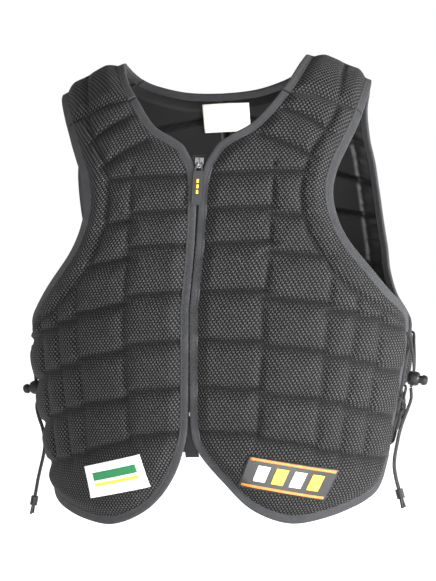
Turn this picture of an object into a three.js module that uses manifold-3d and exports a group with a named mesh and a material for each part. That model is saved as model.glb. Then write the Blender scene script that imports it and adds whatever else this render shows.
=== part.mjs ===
// Body protector vest for riders: two padded front panels that zip together, a padded back panel,
// two shoulder yokes, bound edges, laced sides with cord locks, a neck label and two hem badges.
// Millimetres, +Z up, the front faces -Y and the wearer's left side is +X.
// The origin lies midway between the shoulders, a little below the crest that rests on them.
import * as THREE from 'three';
import { mergeVertices } from 'three/addons/utils/BufferGeometryUtils.js';
import Module from 'manifold-3d';

const wasm = await Module();
wasm.setup();

// Driving dimensions of the worn form
const chestHalfWidth = 215;
const frontDepth = 121;
const backDepth = 110;
const ridgeHeight = 30;
const crestDrop = 170;
const bodyDrop = 506;
const frontRun = 564;
const backRun = 513;
const neckHalfWidth = 100;
const shoulderSlope = 0.5;
const girthPower = 2.4;
const crestPower = 2.2;

// How the vest hangs: it turns a little, its shoulders lean to the right, its left side sits higher,
// the zip is drawn to the right above the hem, and the back to the left beside the armholes
const twistTop = 5.1;
const twistWaist = -3.7;
const hangRise = 0.04;
const shoulderSway = 4.5;
const zipShift = 8.5;
const zipShiftReach = 0.75;
const backShift = 6;

// Padding and trim
const padOut = 7;
const padIn = 8.5;
const edgeHalf = 1.7;
const padSlope = 15;
const bindingWidth = 9;
const bindingThickness = 4;
const seatGap = 0.3;
const padGap = 2;
const closePadGap = 0.6;
const grooveShare = 0.52;
const grooveHalfWidth = 5.5;
const yokeFrontRun = 105;
const yokeBackRun = 46;

// Zip
const zipHalfGap = 1.2;
const zipTopRun = 179;
const zipEndRun = 455;
const chainEndRun = 443;
const chainHalfWidth = 2.1;
const chainThickness = 1.4;
const tapeThickness = 0.9;
const tapeWidth = 6.5;
const guardHalfWidth = 8;
const guardTopRun = 176;
const guardEndRun = 490;
const guardThickness = 0.9;
const stopLength = 4;
const sliderRun = 186;
const sliderWidth = 9;
const sliderLength = 11;
const sliderThickness = 3;
const bridgeReach = 4;
const bridgeRise = 3.6;
const bridgeWire = 1.6;
const pullWidth = 10.5;
const pullLength = 36;
const pullThickness = 1.8;
const pullRingWire = 1.5;
const pullRingHalfWidth = 3.2;
const pullRingLength = 9;
const pullStandOff = 7.5;

// Side lacing
const sideMiddle = 268;
const cordDiameter = 3;
const eyeletDiameter = 4.6;
const lockRun = 419;
const lockRadius = 8;
const lockLength = 12;
const lockBore = 4.7;
const lockFloor = 2;
const lockLift = 6;
const cordFromLockBase = 5;
const cordSpread = 1.7;
const cordHoleClearance = 0.5;
const cordPastLock = 9.5;
const plungerTravel = 3;
const plungerClearance = 0.3;
const plungerHeadRadius = 5.5;
const plungerHeadLength = 6;
const barrelRadius = 4.2;
const barrelLength = 10;
const tipLength = 10;

// Label and badges
const labelWidth = 57;
const labelHeight = 36;
const labelThickness = 0.8;
const labelStandOff = 1.2;
const labelAcross = 3;
const badgeThickness = 0.9;

// Sections of the form from the ridge to the hem, as shares of the named sizes
const sections = [
  { down: 0.0, width: 0.953, front: 0.926, back: 0.95 },
  { down: 0.336, width: 0.991, front: 0.926, back: 0.96 },
  { down: 0.553, width: 0.989, front: 0.992, back: 1.0 },
  { down: 0.66, width: 0.96, front: 0.997, back: 0.99 },
  { down: 0.75, width: 0.926, front: 1.0, back: 0.98 },
  { down: 0.889, width: 0.873, front: 0.985, back: 0.95 },
  { down: 1.0, width: 0.858, front: 0.955, back: 0.91 },
];

// Edges of the cut pieces: across is a share of the quarter girth, run of the cloth's length
const frontInnerEdge = [
  { across: 0.382, run: 0 },
  { across: 0.369, run: 0.074 },
  { across: 0.327, run: 0.146 },
  { across: 0.287, run: 0.186 },
  { across: 0.191, run: 0.253 },
  { across: 0.109, run: 0.279 },
  { across: 0.067, run: 0.294 },
  { across: 0.043, run: 0.312 },
  { across: 0.022, run: 0.332 },
  { across: 0.0085, run: 0.359 },
];
const frontLowerEdge = [
  { across: 0.009, run: 0.823 },
  { across: 0.018, run: 0.842 },
  { across: 0.034, run: 0.859 },
  { across: 0.055, run: 0.877 },
  { across: 0.085, run: 0.897 },
  { across: 0.122, run: 0.918 },
  { across: 0.165, run: 0.94 },
  { across: 0.215, run: 0.96 },
  { across: 0.28, run: 0.977 },
  { across: 0.36, run: 0.99 },
  { across: 0.43, run: 0.994 },
  { across: 0.56, run: 0.986 },
  { across: 0.66, run: 0.975 },
  { across: 0.75, run: 0.963 },
  { across: 0.82, run: 0.949 },
  { across: 0.872, run: 0.926 },
  { across: 0.909, run: 0.894 },
];
const frontOuterEdge = [
  { across: 0.682, run: 0 },
  { across: 0.666, run: 0.083 },
  { across: 0.622, run: 0.161 },
  { across: 0.572, run: 0.229 },
  { across: 0.539, run: 0.271 },
  { across: 0.499, run: 0.326 },
  { across: 0.482, run: 0.374 },
  { across: 0.495, run: 0.42 },
  { across: 0.54, run: 0.471 },
  { across: 0.637, run: 0.529 },
  { across: 0.742, run: 0.577 },
  { across: 0.822, run: 0.601 },
  { across: 0.873, run: 0.619 },
  { across: 0.903, run: 0.646 },
  { across: 0.912, run: 0.694 },
  { across: 0.912, run: 0.789 },
  { across: 0.912, run: 0.866 },
];
const backInnerEdge = [
  { across: 0.382, run: 0 },
  { across: 0.372, run: 0.048 },
  { across: 0.347, run: 0.085 },
  { across: 0.305, run: 0.111 },
  { across: 0.24, run: 0.13 },
  { across: 0.16, run: 0.144 },
  { across: 0.08, run: 0.15 },
  { across: 0.0, run: 0.152 },
];
const backOuterEdge = [
  { across: 0.682, run: 0 },
  { across: 0.674, run: 0.083 },
  { across: 0.655, run: 0.15 },
  { across: 0.658, run: 0.216 },
  { across: 0.672, run: 0.273 },
  { across: 0.674, run: 0.351 },
  { across: 0.67, run: 0.448 },
  { across: 0.674, run: 0.52 },
  { across: 0.692, run: 0.59 },
  { across: 0.747, run: 0.646 },
  { across: 0.835, run: 0.681 },
  { across: 0.92, run: 0.709 },
  { across: 0.966, run: 0.752 },
  { across: 0.976, run: 0.828 },
  { across: 0.975, run: 0.904 },
  { across: 0.93, run: 0.954 },
];
const backLowerEdge = [
  { across: 0.88, run: 0.969 },
  { across: 0.75, run: 0.977 },
  { across: 0.5, run: 0.988 },
  { across: 0.25, run: 0.997 },
  { across: 0.0, run: 0.999 },
];

// Stitched lines of the quilting, from one end to the other
const frontSeams = [
  { fromAcross: 0.267, fromRun: 0.336, toAcross: 0.267, toRun: 0.83 },
  { fromAcross: 0.49, fromRun: 0.541, toAcross: 0.49, toRun: 0.857 },
  { fromAcross: 0.592, fromRun: 0.584, toAcross: 0.592, toRun: 0.869 },
  { fromAcross: 0.698, fromRun: 0.603, toAcross: 0.698, toRun: 0.88 },
  { fromAcross: 0.03, fromRun: 0.352, toAcross: 0.37, toRun: 0.347 },
  { fromAcross: 0.03, fromRun: 0.416, toAcross: 0.267, toRun: 0.415 },
  { fromAcross: 0.03, fromRun: 0.479, toAcross: 0.267, toRun: 0.479 },
  { fromAcross: 0.02, fromRun: 0.565, toAcross: 0.267, toRun: 0.569 },
  { fromAcross: 0.02, fromRun: 0.653, toAcross: 0.267, toRun: 0.659 },
  { fromAcross: 0.02, fromRun: 0.739, toAcross: 0.267, toRun: 0.745 },
  { fromAcross: 0.03, fromRun: 0.82, toAcross: 0.267, toRun: 0.827 },
  { fromAcross: 0.267, fromRun: 0.428, toAcross: 0.37, toRun: 0.431 },
  { fromAcross: 0.267, fromRun: 0.498, toAcross: 0.45, toRun: 0.509 },
  { fromAcross: 0.267, fromRun: 0.581, toAcross: 0.49, toRun: 0.598 },
  { fromAcross: 0.267, fromRun: 0.667, toAcross: 0.49, toRun: 0.682 },
  { fromAcross: 0.267, fromRun: 0.756, toAcross: 0.49, toRun: 0.767 },
  { fromAcross: 0.267, fromRun: 0.833, toAcross: 0.49, toRun: 0.854 },
  { fromAcross: 0.49, fromRun: 0.61, toAcross: 0.592, toRun: 0.614 },
  { fromAcross: 0.49, fromRun: 0.691, toAcross: 0.592, toRun: 0.696 },
  { fromAcross: 0.49, fromRun: 0.774, toAcross: 0.592, toRun: 0.779 },
  { fromAcross: 0.49, fromRun: 0.86, toAcross: 0.592, toRun: 0.865 },
  { fromAcross: 0.592, fromRun: 0.622, toAcross: 0.698, toRun: 0.629 },
  { fromAcross: 0.592, fromRun: 0.703, toAcross: 0.698, toRun: 0.71 },
  { fromAcross: 0.592, fromRun: 0.786, toAcross: 0.698, toRun: 0.793 },
  { fromAcross: 0.592, fromRun: 0.873, toAcross: 0.698, toRun: 0.877 },
  { fromAcross: 0.698, fromRun: 0.638, toAcross: 0.89, toRun: 0.651 },
  { fromAcross: 0.698, fromRun: 0.719, toAcross: 0.89, toRun: 0.732 },
  { fromAcross: 0.698, fromRun: 0.801, toAcross: 0.89, toRun: 0.813 },
  { fromAcross: 0.698, fromRun: 0.881, toAcross: 0.89, toRun: 0.89 },
  { fromAcross: 0.3, fromRun: 0.226, toAcross: 0.45, toRun: 0.253 },
  { fromAcross: 0.22, fromRun: 0.28, toAcross: 0.39, toRun: 0.313 },
];
// The stitched line that follows the front armhole
const armholeSeam = [
  { across: 0.5, run: 0.186 },
  { across: 0.45, run: 0.253 },
  { across: 0.39, run: 0.313 },
  { across: 0.365, run: 0.377 },
  { across: 0.375, run: 0.436 },
  { across: 0.415, run: 0.485 },
  { across: 0.49, run: 0.541 },
  { across: 0.592, run: 0.584 },
  { across: 0.698, run: 0.608 },
  { across: 0.88, run: 0.645 },
];
const backSeams = [
  { fromAcross: 0.42, fromRun: 0.119, toAcross: 0.42, toRun: 0.976 },
];
const backRows = [
  { run: 0.235, reach: 0.645 },
  { run: 0.335, reach: 0.655 },
  { run: 0.435, reach: 0.655 },
  { run: 0.57, reach: 0.67 },
  { run: 0.705, reach: 0.885 },
  { run: 0.84, reach: 0.95 },
];
// Stitched lines on the yokes, measured along the front
const yokeSeams = [
  { fromAcross: 0.545, fromRun: 0.03, toAcross: 0.5, toRun: 0.176 },
];

// Eyelets of one side: around is measured from the front middle towards the back middle
const eyelets = {
  frontTop: { around: 246.2, run: 372 },
  frontMiddle: { around: 248.4, run: 440 },
  frontLow: { around: 248.4, run: 487 },
  backTop: { around: 298.5, run: 372 },
  backMiddle: { around: 288.7, run: 430 },
  backLow: { around: 290.4, run: 466 },
};
// The free cords below each lock: around and run as above, lift off the form
const hangingPaths = {
  left: [
    { around: 268, run: 429.6, lift: 11 },
    { around: 264, run: 440, lift: 13.5 },
    { around: 257, run: 452, lift: 12.6 },
    { around: 252.5, run: 464, lift: 11 },
    { around: 250, run: 476, lift: 10 },
    { around: 250, run: 488, lift: 9.5 },
    { around: 250, run: 500, lift: 9 },
    { around: 250, run: 512, lift: 9.6 },
    { around: 250, run: 524, lift: 12.3 },
    { around: 250, run: 536, lift: 16 },
  ],
  right: [
    { around: 268, run: 429.6, lift: 11 },
    { around: 265, run: 440, lift: 14 },
    { around: 262.5, run: 452, lift: 12.9 },
    { around: 262, run: 464, lift: 10.8 },
    { around: 262, run: 476, lift: 10.2 },
    { around: 262, run: 488, lift: 12 },
    { around: 262, run: 500, lift: 15.9 },
    { around: 262, run: 512, lift: 20.1 },
    { around: 262, run: 524, lift: 23.6 },
    { around: 262, run: 536, lift: 26.3 },
    { around: 262, run: 544, lift: 28.1 },
  ],
};
// Badges on the hem lobes: the middle of each on the cloth, its turn, and the lean of its short sides
const badges = [
  { name: 'hem_badge_right', sign: -1, across: 97, run: 508, width: 80, height: 34, turn: 10, lean: 0 },
  { name: 'hem_badge_left', sign: 1, across: 106.6, run: 512, width: 100, height: 34, turn: 11, lean: 0.3 },
];

// Small helpers
const lerp = (from, to, share) => from + (to - from) * share;
const clamp01 = (value) => Math.min(1, Math.max(0, value));
const smooth = (value) => clamp01(value) ** 2 * (3 - 2 * clamp01(value));
const degrees = (value) => (value * Math.PI) / 180;

// A unit superellipse quadrant read by its share of the arc
function quadrant(width, depth, power) {
  const count = 400;
  const points = [];
  let length = 0;
  for (let i = 0; i <= count; i += 1) {
    const angle = (i / count) * (Math.PI / 2);
    const point = { x: Math.sin(angle) ** (2 / power), y: Math.cos(angle) ** (2 / power) };
    if (i > 0) {
      const last = points[i - 1];
      length += Math.hypot((point.x - last.x) * width, (point.y - last.y) * depth);
    }
    points.push({ ...point, at: length });
  }
  const read = (share) => {
    const target = clamp01(share) * length;
    let low = 0;
    let high = count;
    while (high - low > 1) {
      const middle = (low + high) >> 1;
      if (points[middle].at <= target) low = middle;
      else high = middle;
    }
    const span = points[high].at - points[low].at || 1;
    const part = (target - points[low].at) / span;
    return [lerp(points[low].x, points[high].x, part), lerp(points[low].y, points[high].y, part)];
  };
  return { length, read };
}
const girth = quadrant(chestHalfWidth, frontDepth, girthPower);
const crest = quadrant(frontDepth * sections[0].front, crestDrop, crestPower);
const quarterGirth = girth.length;
const crestRun = crest.length;

// A column of the section table at a height, on a smooth curve through its rows
function sectionValue(column, down) {
  const last = sections.length - 1;
  let i = 0;
  while (i < last - 1 && sections[i + 1].down < down) i += 1;
  const row = (k) => sections[Math.min(last, Math.max(0, k))];
  const part = clamp01((down - row(i).down) / (row(i + 1).down - row(i).down));
  const slope = (k) => {
    const before = row(k - 1);
    const after = row(k + 1);
    return (after[column] - before[column]) / (after.down - before.down);
  };
  const span = row(i + 1).down - row(i).down;
  const p2 = part * part;
  const p3 = p2 * part;
  return (
    row(i)[column] * (2 * p3 - 3 * p2 + 1) +
    slope(i) * span * (p3 - 2 * p2 + part) +
    row(i + 1)[column] * (3 * p2 - 2 * p3) +
    slope(i + 1) * span * (p3 - p2)
  );
}

// How far the cloth is drawn sideways: the zip's shift fades towards the sides and the hem
function zipShiftAt(below, sideShare) {
  const towardsZip = smooth(1 - sideShare / zipShiftReach);
  return zipShift * towardsZip * smooth(below / 90) * (1 - smooth((below - 470) / 60));
}
function backShiftAt(below) {
  return backShift * smooth(below / 150) * (1 - smooth((below - 260) / 100));
}

// The form's surface: across and run in millimetres along the cloth, run below zero on the back
function surface(across, run) {
  const below = Math.abs(run);
  const overCrest = below < crestRun;
  const [depthShare, heightShare] = overCrest ? crest.read(below / crestRun) : [1, 0];
  const level = overCrest
    ? ridgeHeight - crestDrop * (1 - heightShare)
    : ridgeHeight - crestDrop - (below - crestRun);
  const down = (ridgeHeight - level) / bodyDrop;
  const halfWidth = chestHalfWidth * sectionValue('width', down);
  const depth =
    run >= 0 ? -frontDepth * sectionValue('front', down) : backDepth * sectionValue('back', down);
  const [sideShare, frontShare] = girth.read(Math.abs(across) / quarterGirth);
  const onForm = Math.sign(across) * halfWidth * sideShare;
  const y = depth * depthShare * frontShare;
  const past = Math.abs(onForm) - neckHalfWidth;
  const rounding = neckHalfWidth / 5;
  const slopeFade = smooth((level + chestHalfWidth * 1.07) / (chestHalfWidth * 0.93));
  const drop = shoulderSlope * slopeFade * (Math.hypot(past, rounding) + past) * 0.5;
  const turn = degrees(lerp(twistWaist, twistTop, clamp01((level + 250) / 220)));
  const sway = shoulderSway * smooth((level + 210) / 170);
  const x = onForm + (run < 0 ? backShiftAt(below) : -zipShiftAt(below, Math.abs(onForm) / halfWidth));
  return new THREE.Vector3(
    x * Math.cos(turn) - y * Math.sin(turn) - sway,
    x * Math.sin(turn) + y * Math.cos(turn),
    level - drop + hangRise * x,
  );
}

// The surface's outward normal and the directions along it
function frameAt(across, run) {
  const step = 0.6;
  const alongRun = surface(across, run + step).sub(surface(across, run - step));
  const alongAcross = surface(across + step, run).sub(surface(across - step, run));
  const normal = new THREE.Vector3().crossVectors(alongRun, alongAcross).normalize();
  const downward = alongRun.clone().multiplyScalar(run < 0 ? -1 : 1).normalize();
  return { point: surface(across, run), normal, downward, side: alongAcross.normalize() };
}

// A point lifted off the surface along its normal
function lifted(across, run, lift) {
  const { point, normal } = frameAt(across, run);
  return point.addScaledVector(normal, lift);
}

// Edges as smooth curves in the plane of the cloth, in millimetres
function clothCurve(rows, runLength, spacing = 4) {
  const points = rows.map(
    (row) => new THREE.Vector3(row.across * quarterGirth, row.run * runLength, 0),
  );
  const curve = new THREE.CatmullRomCurve3(points, false, 'centripetal');
  const count = Math.max(8, Math.round(curve.getLength() / spacing));
  return curve.getSpacedPoints(count).map((p) => [p.x, p.y]);
}

const lengthOf = (line) =>
  line.slice(1).reduce((sum, p, i) => sum + Math.hypot(p[0] - line[i][0], p[1] - line[i][1]), 0);

// A line resampled to a number of equal steps
function resample(line, count) {
  const total = lengthOf(line);
  const result = [line[0]];
  let i = 0;
  let passed = 0;
  for (let k = 1; k < count; k += 1) {
    const target = (k / count) * total;
    let step = Math.hypot(line[i + 1][0] - line[i][0], line[i + 1][1] - line[i][1]);
    while (passed + step < target) {
      passed += step;
      i += 1;
      step = Math.hypot(line[i + 1][0] - line[i][0], line[i + 1][1] - line[i][1]);
    }
    const share = (target - passed) / step;
    result.push([lerp(line[i][0], line[i + 1][0], share), lerp(line[i][1], line[i + 1][1], share)]);
  }
  result.push(line[line.length - 1]);
  return result;
}

// The point at a share of a line's length
function pointAt(line, share) {
  const target = share * lengthOf(line);
  let passed = 0;
  for (let i = 1; i < line.length; i += 1) {
    const step = Math.hypot(line[i][0] - line[i - 1][0], line[i][1] - line[i - 1][1]);
    if (passed + step >= target && step > 0) {
      const part = (target - passed) / step;
      return [lerp(line[i - 1][0], line[i][0], part), lerp(line[i - 1][1], line[i][1], part)];
    }
    passed += step;
  }
  return line[line.length - 1];
}

// A line moved sideways: positive goes to the left of its direction
function offsetLine(line, distance) {
  return line.map((p, i) => {
    const before = line[Math.max(0, i - 1)];
    const after = line[Math.min(line.length - 1, i + 1)];
    const length = Math.hypot(after[0] - before[0], after[1] - before[1]);
    const normal = [-(after[1] - before[1]) / length, (after[0] - before[0]) / length];
    return [p[0] + normal[0] * distance, p[1] + normal[1] * distance];
  });
}

// The part of an edge line on one side of a run
function cutAtRun(line, run) {
  const at = line.findIndex((p, i) => i > 0 && (p[1] - run) * (line[i - 1][1] - run) <= 0);
  const [from, to] = [line[at - 1], line[at]];
  const share = (run - from[1]) / (to[1] - from[1]);
  const point = [lerp(from[0], to[0], share), run];
  return { before: [...line.slice(0, at), point], after: [point, ...line.slice(at)] };
}

const zipEdgeTop = { across: zipHalfGap / quarterGirth, run: 0.395 };
const zipEdgeBottom = { across: zipHalfGap / quarterGirth, run: 0.789 };
const frontInner = clothCurve([...frontInnerEdge, zipEdgeTop, zipEdgeBottom, ...frontLowerEdge], frontRun);
const frontOuter = clothCurve(
  [...frontOuterEdge, frontLowerEdge[frontLowerEdge.length - 1]],
  frontRun,
);
const backInner = clothCurve(backInnerEdge, -backRun);
const backOuter = clothCurve([...backOuterEdge, ...backLowerEdge], -backRun);

const neckFront = cutAtRun(frontInner, yokeFrontRun);
const armFront = cutAtRun(frontOuter, yokeFrontRun);
const neckBack = cutAtRun(backInner, -yokeBackRun);
const armBack = cutAtRun(backOuter, -yokeBackRun);

// The edge that goes right round a front panel, from its neck seam to its armhole seam
const frontPerimeter = [...neckFront.after, ...[...armFront.after].reverse().slice(1)];
const insetDepth = bindingWidth + padGap;
const closeInset = bindingWidth + closePadGap;

// Geometry from rings of points, each ring closed on itself, with both ends capped
function loft(rings, closedLoop = false) {
  const sides = rings[0].length;
  const positions = [];
  rings.forEach((ring) => ring.forEach((p) => positions.push(p.x, p.y, p.z)));
  const faces = [];
  const last = closedLoop ? rings.length : rings.length - 1;
  for (let i = 0; i < last; i += 1) {
    const next = (i + 1) % rings.length;
    for (let k = 0; k < sides; k += 1) {
      const a = i * sides + k;
      const b = i * sides + ((k + 1) % sides);
      const c = next * sides + ((k + 1) % sides);
      const d = next * sides + k;
      faces.push(a, b, c, a, c, d);
    }
  }
  if (!closedLoop) {
    for (let k = 1; k < sides - 1; k += 1) {
      faces.push(0, k + 1, k);
      const end = (rings.length - 1) * sides;
      faces.push(end, end + k, end + k + 1);
    }
  }
  return facingOut(positions, faces);
}

// A geometry whose faces point out
function facingOut(positions, faces) {
  let volume = 0;
  const at = (i) => new THREE.Vector3(...positions.slice(i * 3, i * 3 + 3));
  for (let i = 0; i < faces.length; i += 3) {
    const [a, b, c] = [at(faces[i]), at(faces[i + 1]), at(faces[i + 2])];
    volume += a.dot(b.cross(c));
  }
  const ordered = volume > 0 ? faces : faces.map((_, i) => faces[i - (i % 3) + 2 - (i % 3)]);
  const geometry = new THREE.BufferGeometry();
  geometry.setAttribute('position', new THREE.Float32BufferAttribute(positions, 3));
  geometry.setIndex(ordered);
  return geometry;
}

// A tube with round section along a list of points
function tube(points, radius, sides = 8) {
  let normal = null;
  const rings = points.map((p, i) => {
    const before = points[Math.max(0, i - 1)];
    const after = points[Math.min(points.length - 1, i + 1)];
    const tangent = after.clone().sub(before).normalize();
    if (!normal) normal = Math.abs(tangent.x) < 0.8 ? new THREE.Vector3(1, 0, 0) : new THREE.Vector3(0, 1, 0);
    normal.addScaledVector(tangent, -normal.dot(tangent)).normalize();
    const across = new THREE.Vector3().crossVectors(tangent, normal);
    return Array.from({ length: sides }, (_, k) => {
      const angle = (k / sides) * Math.PI * 2;
      return p
        .clone()
        .addScaledVector(normal, Math.cos(angle) * radius)
        .addScaledVector(across, Math.sin(angle) * radius);
    });
  });
  return loft(rings);
}

function toSolid(geometry) {
  const bare = geometry.clone();
  bare.deleteAttribute('normal');
  bare.deleteAttribute('uv');
  const merged = mergeVertices(bare, 1e-4);
  return new wasm.Manifold(
    new wasm.Mesh({
      numProp: 3,
      vertProperties: new Float32Array(merged.attributes.position.array),
      triVerts: new Uint32Array(merged.index.array),
    }),
  );
}

function toGeometry(solid) {
  const mesh = solid.getMesh();
  const positions = [];
  for (let i = 0; i < mesh.numVert; i += 1) {
    positions.push(...mesh.vertProperties.slice(i * mesh.numProp, i * mesh.numProp + 3));
  }
  const geometry = new THREE.BufferGeometry();
  geometry.setAttribute('position', new THREE.Float32BufferAttribute(positions, 3));
  geometry.setIndex([...mesh.triVerts]);
  return geometry;
}

// A geometry with the cutters taken out of it, and without the specks that they leave
function cutWith(geometry, cutters) {
  const cut = cutters.reduce((solid, cutter) => solid.subtract(toSolid(cutter)), toSolid(geometry));
  const bodies = cut.decompose().sort((a, b) => b.volume() - a.volume());
  return toGeometry(bodies[0]);
}

const distanceTo = (line, across, run) => {
  let best = Infinity;
  for (let i = 1; i < line.length; i += 1) {
    const [ax, ay] = line[i - 1];
    const [bx, by] = line[i];
    const span = (bx - ax) ** 2 + (by - ay) ** 2 || 1;
    const share = clamp01(((across - ax) * (bx - ax) + (run - ay) * (by - ay)) / span);
    best = Math.min(best, Math.hypot(across - lerp(ax, bx, share), run - lerp(ay, by, share)));
  }
  return best;
};

// Padding swells from a thin bound edge to its full depth
const swell = (full, distance) => lerp(edgeHalf, full, Math.sqrt(smooth(distance / padSlope)));

// A padded shell over a grid of cloth positions
function paddedShell(grid, bounds, openInnerFrom = grid.length) {
  const rows = grid.length;
  const columns = grid[0].length;
  const positions = [];
  for (const side of [1, -1]) {
    grid.flat().forEach(([across, run]) => {
      const distance = Math.min(...bounds.map((line) => distanceTo(line, across, run)));
      const p = lifted(across, run, side * swell(side > 0 ? padOut : padIn, distance));
      positions.push(p.x, p.y, p.z);
    });
  }
  const layer = rows * columns;
  const faces = [];
  const quad = (a, b, c, d) => faces.push(a, b, c, a, c, d);
  for (let i = 0; i < rows - 1; i += 1) {
    for (let k = 0; k < columns - 1; k += 1) {
      const a = i * columns + k;
      quad(a, a + 1, a + columns + 1, a + columns);
      quad(layer + a + columns, layer + a + columns + 1, layer + a + 1, layer + a);
    }
  }
  for (let i = 0; i < rows - 1; i += 1) {
    for (const k of [0, columns - 1]) {
      const a = i * columns + k;
      if (k > 0) quad(layer + a, layer + a + columns, a + columns, a);
      else if (i < openInnerFrom) quad(a, a + columns, layer + a + columns, layer + a);
    }
  }
  for (let k = 0; k < columns - 1; k += 1) {
    quad(layer + k, layer + k + 1, k + 1, k);
    const a = (rows - 1) * columns + k;
    quad(a, a + 1, layer + a + 1, layer + a);
  }
  return { positions, faces };
}

const frontColumns = [0, 0.07, 0.19, 0.34, 0.5, 0.66, 0.81, 0.93, 1];
const backColumns = [0, 0.2, 0.4, 0.58, 0.74, 0.87, 0.95, 1];

// Cloth positions between two edge lines, with a row at every step
const gridBetween = (inner, outer, rowShares, columns) =>
  rowShares.map((share) => {
    const [from, to] = [pointAt(inner, share), pointAt(outer, share)];
    return columns.map((u) => [lerp(from[0], to[0], u), lerp(from[1], to[1], u)]);
  });

// A groove cutter along a stitched line on one face of a pad
function grooveCutter(line, bounds, side, spacing = 42) {
  const count = Math.max(1, Math.round(lengthOf(line) / spacing));
  const path = resample(line, count);
  const rings = path.map(([across, run], i) => {
    const before = path[Math.max(0, i - 1)];
    const after = path[Math.min(path.length - 1, i + 1)];
    const length = Math.hypot(after[0] - before[0], after[1] - before[1]);
    const sideways = [-(after[1] - before[1]) / length, (after[0] - before[0]) / length];
    const distance = Math.min(...bounds.map((edge) => distanceTo(edge, across, run)));
    const height = swell(side > 0 ? padOut : padIn, distance);
    const at = (offset, lift) =>
      lifted(across + sideways[0] * offset, run + sideways[1] * offset, side * lift);
    return [
      at(0, height * (1 - grooveShare)),
      at(grooveHalfWidth, height + 1.4),
      at(-grooveHalfWidth, height + 1.4),
    ];
  });
  return loft(rings);
}

// A bar of binding along an edge, lying between the edge and the pad
function bindingBar(edge, inward, spacing = 20) {
  const path = resample(edge, Math.round(lengthOf(edge) / spacing));
  const half = bindingThickness / 2;
  const noseShare = 0.13;
  const profile = [
    [0, 0],
    [bindingWidth * noseShare, half],
    [bindingWidth, half],
    [bindingWidth, -half],
    [bindingWidth * noseShare, -half],
  ];
  const layers = profile.map(([depth]) => offsetLine(path, depth * inward));
  return loft(
    path.map((_, i) => profile.map(([, lift], k) => lifted(...layers[k][i], lift))),
  );
}

// A flat strip that follows the cloth between two across positions
function strip(acrossFrom, acrossTo, runFrom, runTo, liftAt, thickness, steps, columns = 1) {
  const grid = [];
  for (let i = 0; i <= steps; i += 1) {
    const run = lerp(runFrom, runTo, i / steps);
    const ring = [];
    for (let k = 0; k <= columns; k += 1) {
      const across = lerp(acrossFrom, acrossTo, k / columns);
      ring.push(lifted(across, run, liftAt(across, run) + thickness / 2));
    }
    for (let k = columns; k >= 0; k -= 1) {
      const across = lerp(acrossFrom, acrossTo, k / columns);
      ring.push(lifted(across, run, liftAt(across, run) - thickness / 2));
    }
    grid.push(ring);
  }
  return loft(grid);
}

const mirrored = (line) => line.map(([across, run]) => [-across, run]);
const spread = (count) => Array.from({ length: count + 1 }, (_, i) => i / count);

// Materials
const cloth = (color, roughness) => new THREE.MeshStandardMaterial({ color, roughness, metalness: 0 });
const spacerMesh = cloth(0x34353a, 0.85);
const bindingCloth = cloth(0x55555c, 0.8);
const tapeCloth = cloth(0x1c1c1e, 0.9);
const cordCloth = cloth(0x18181a, 0.7);
const labelCloth = cloth(0xe8e6dc, 0.8);
const badgeWhite = cloth(0xf2f2ee, 0.6);
const badgeBlack = cloth(0x121212, 0.6);
const blackPlastic = new THREE.MeshStandardMaterial({ color: 0x141414, roughness: 0.4, metalness: 0 });
const darkMetal = new THREE.MeshStandardMaterial({ color: 0x8a8a8c, roughness: 0.3, metalness: 1 });

const vest = new THREE.Group();
function add(name, geometry, material) {
  const mesh = new THREE.Mesh(geometry, material);
  mesh.name = name;
  vest.add(mesh);
  return mesh;
}

// Bindings are sampled closely where they turn tightly
const yokeSpacing = 13;
const neckSpacing = 12;

// Front panels
const nearestIndex = (line, across, run) =>
  line.reduce((best, p, i) => {
    const off = Math.hypot(p[0] - across, p[1] - run);
    return off < best.off ? { off, i } : best;
  }, { off: Infinity, i: 0 }).i;

const cornerOf = (row, runLength) => [row.across * quarterGirth, row.run * runLength];
const hemCornerRow = frontLowerEdge[2];
const sideCornerRow = frontLowerEdge[frontLowerEdge.length - 1];
const hemStart = nearestIndex(frontPerimeter, ...cornerOf(hemCornerRow, frontRun));
const hemEnd = nearestIndex(frontPerimeter, ...cornerOf(sideCornerRow, frontRun));
const frontInset = offsetLine(frontPerimeter, -insetDepth);
const frontGridInner = frontInset.slice(0, hemStart + 1);
const frontGridHem = frontInset.slice(hemStart, hemEnd + 1);
const frontGridOuter = frontInset.slice(hemEnd).reverse();

const backInset = offsetLine(armBack.after, -insetDepth);
const backCornerRow = backOuterEdge[backOuterEdge.length - 1];
const backCorner = nearestIndex(armBack.after, ...cornerOf(backCornerRow, -backRun));
const backNeckInset = offsetLine(neckBack.after, closeInset);
const backNeckMiddle = [0, backNeckInset[backNeckInset.length - 1][1]];
const backHemMiddle = [0, backInset[backInset.length - 1][1]];
backNeckInset[backNeckInset.length - 1] = backNeckMiddle;
const backGridInner = [...backNeckInset, backHemMiddle];
const backGridOuter = backInset.slice(0, backCorner + 1);
const backGridHem = [...backInset.slice(backCorner, -1), backHemMiddle].reverse();

// Cloth positions of a panel: rows run from its upper seam to its hem
function panelGrid(inner, outer, hem, rowShares, columns, seamShift) {
  const grid = gridBetween(inner, outer, rowShares, columns);
  const bendFrom = 0.55;
  const lastRow = grid[grid.length - 1];
  const pulls = lastRow.map(([across, run], k) => {
    const target = pointAt(hem, columns[k]);
    return [target[0] - across, target[1] - run];
  });
  return grid.map((row, i) => {
    const weight = clamp01((rowShares[i] - bendFrom) / (1 - bendFrom)) ** 2;
    return row.map(([across, run], k) => [
      across + pulls[k][0] * weight,
      run + pulls[k][1] * weight + (i === 0 ? seamShift : 0),
    ]);
  });
}

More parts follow.
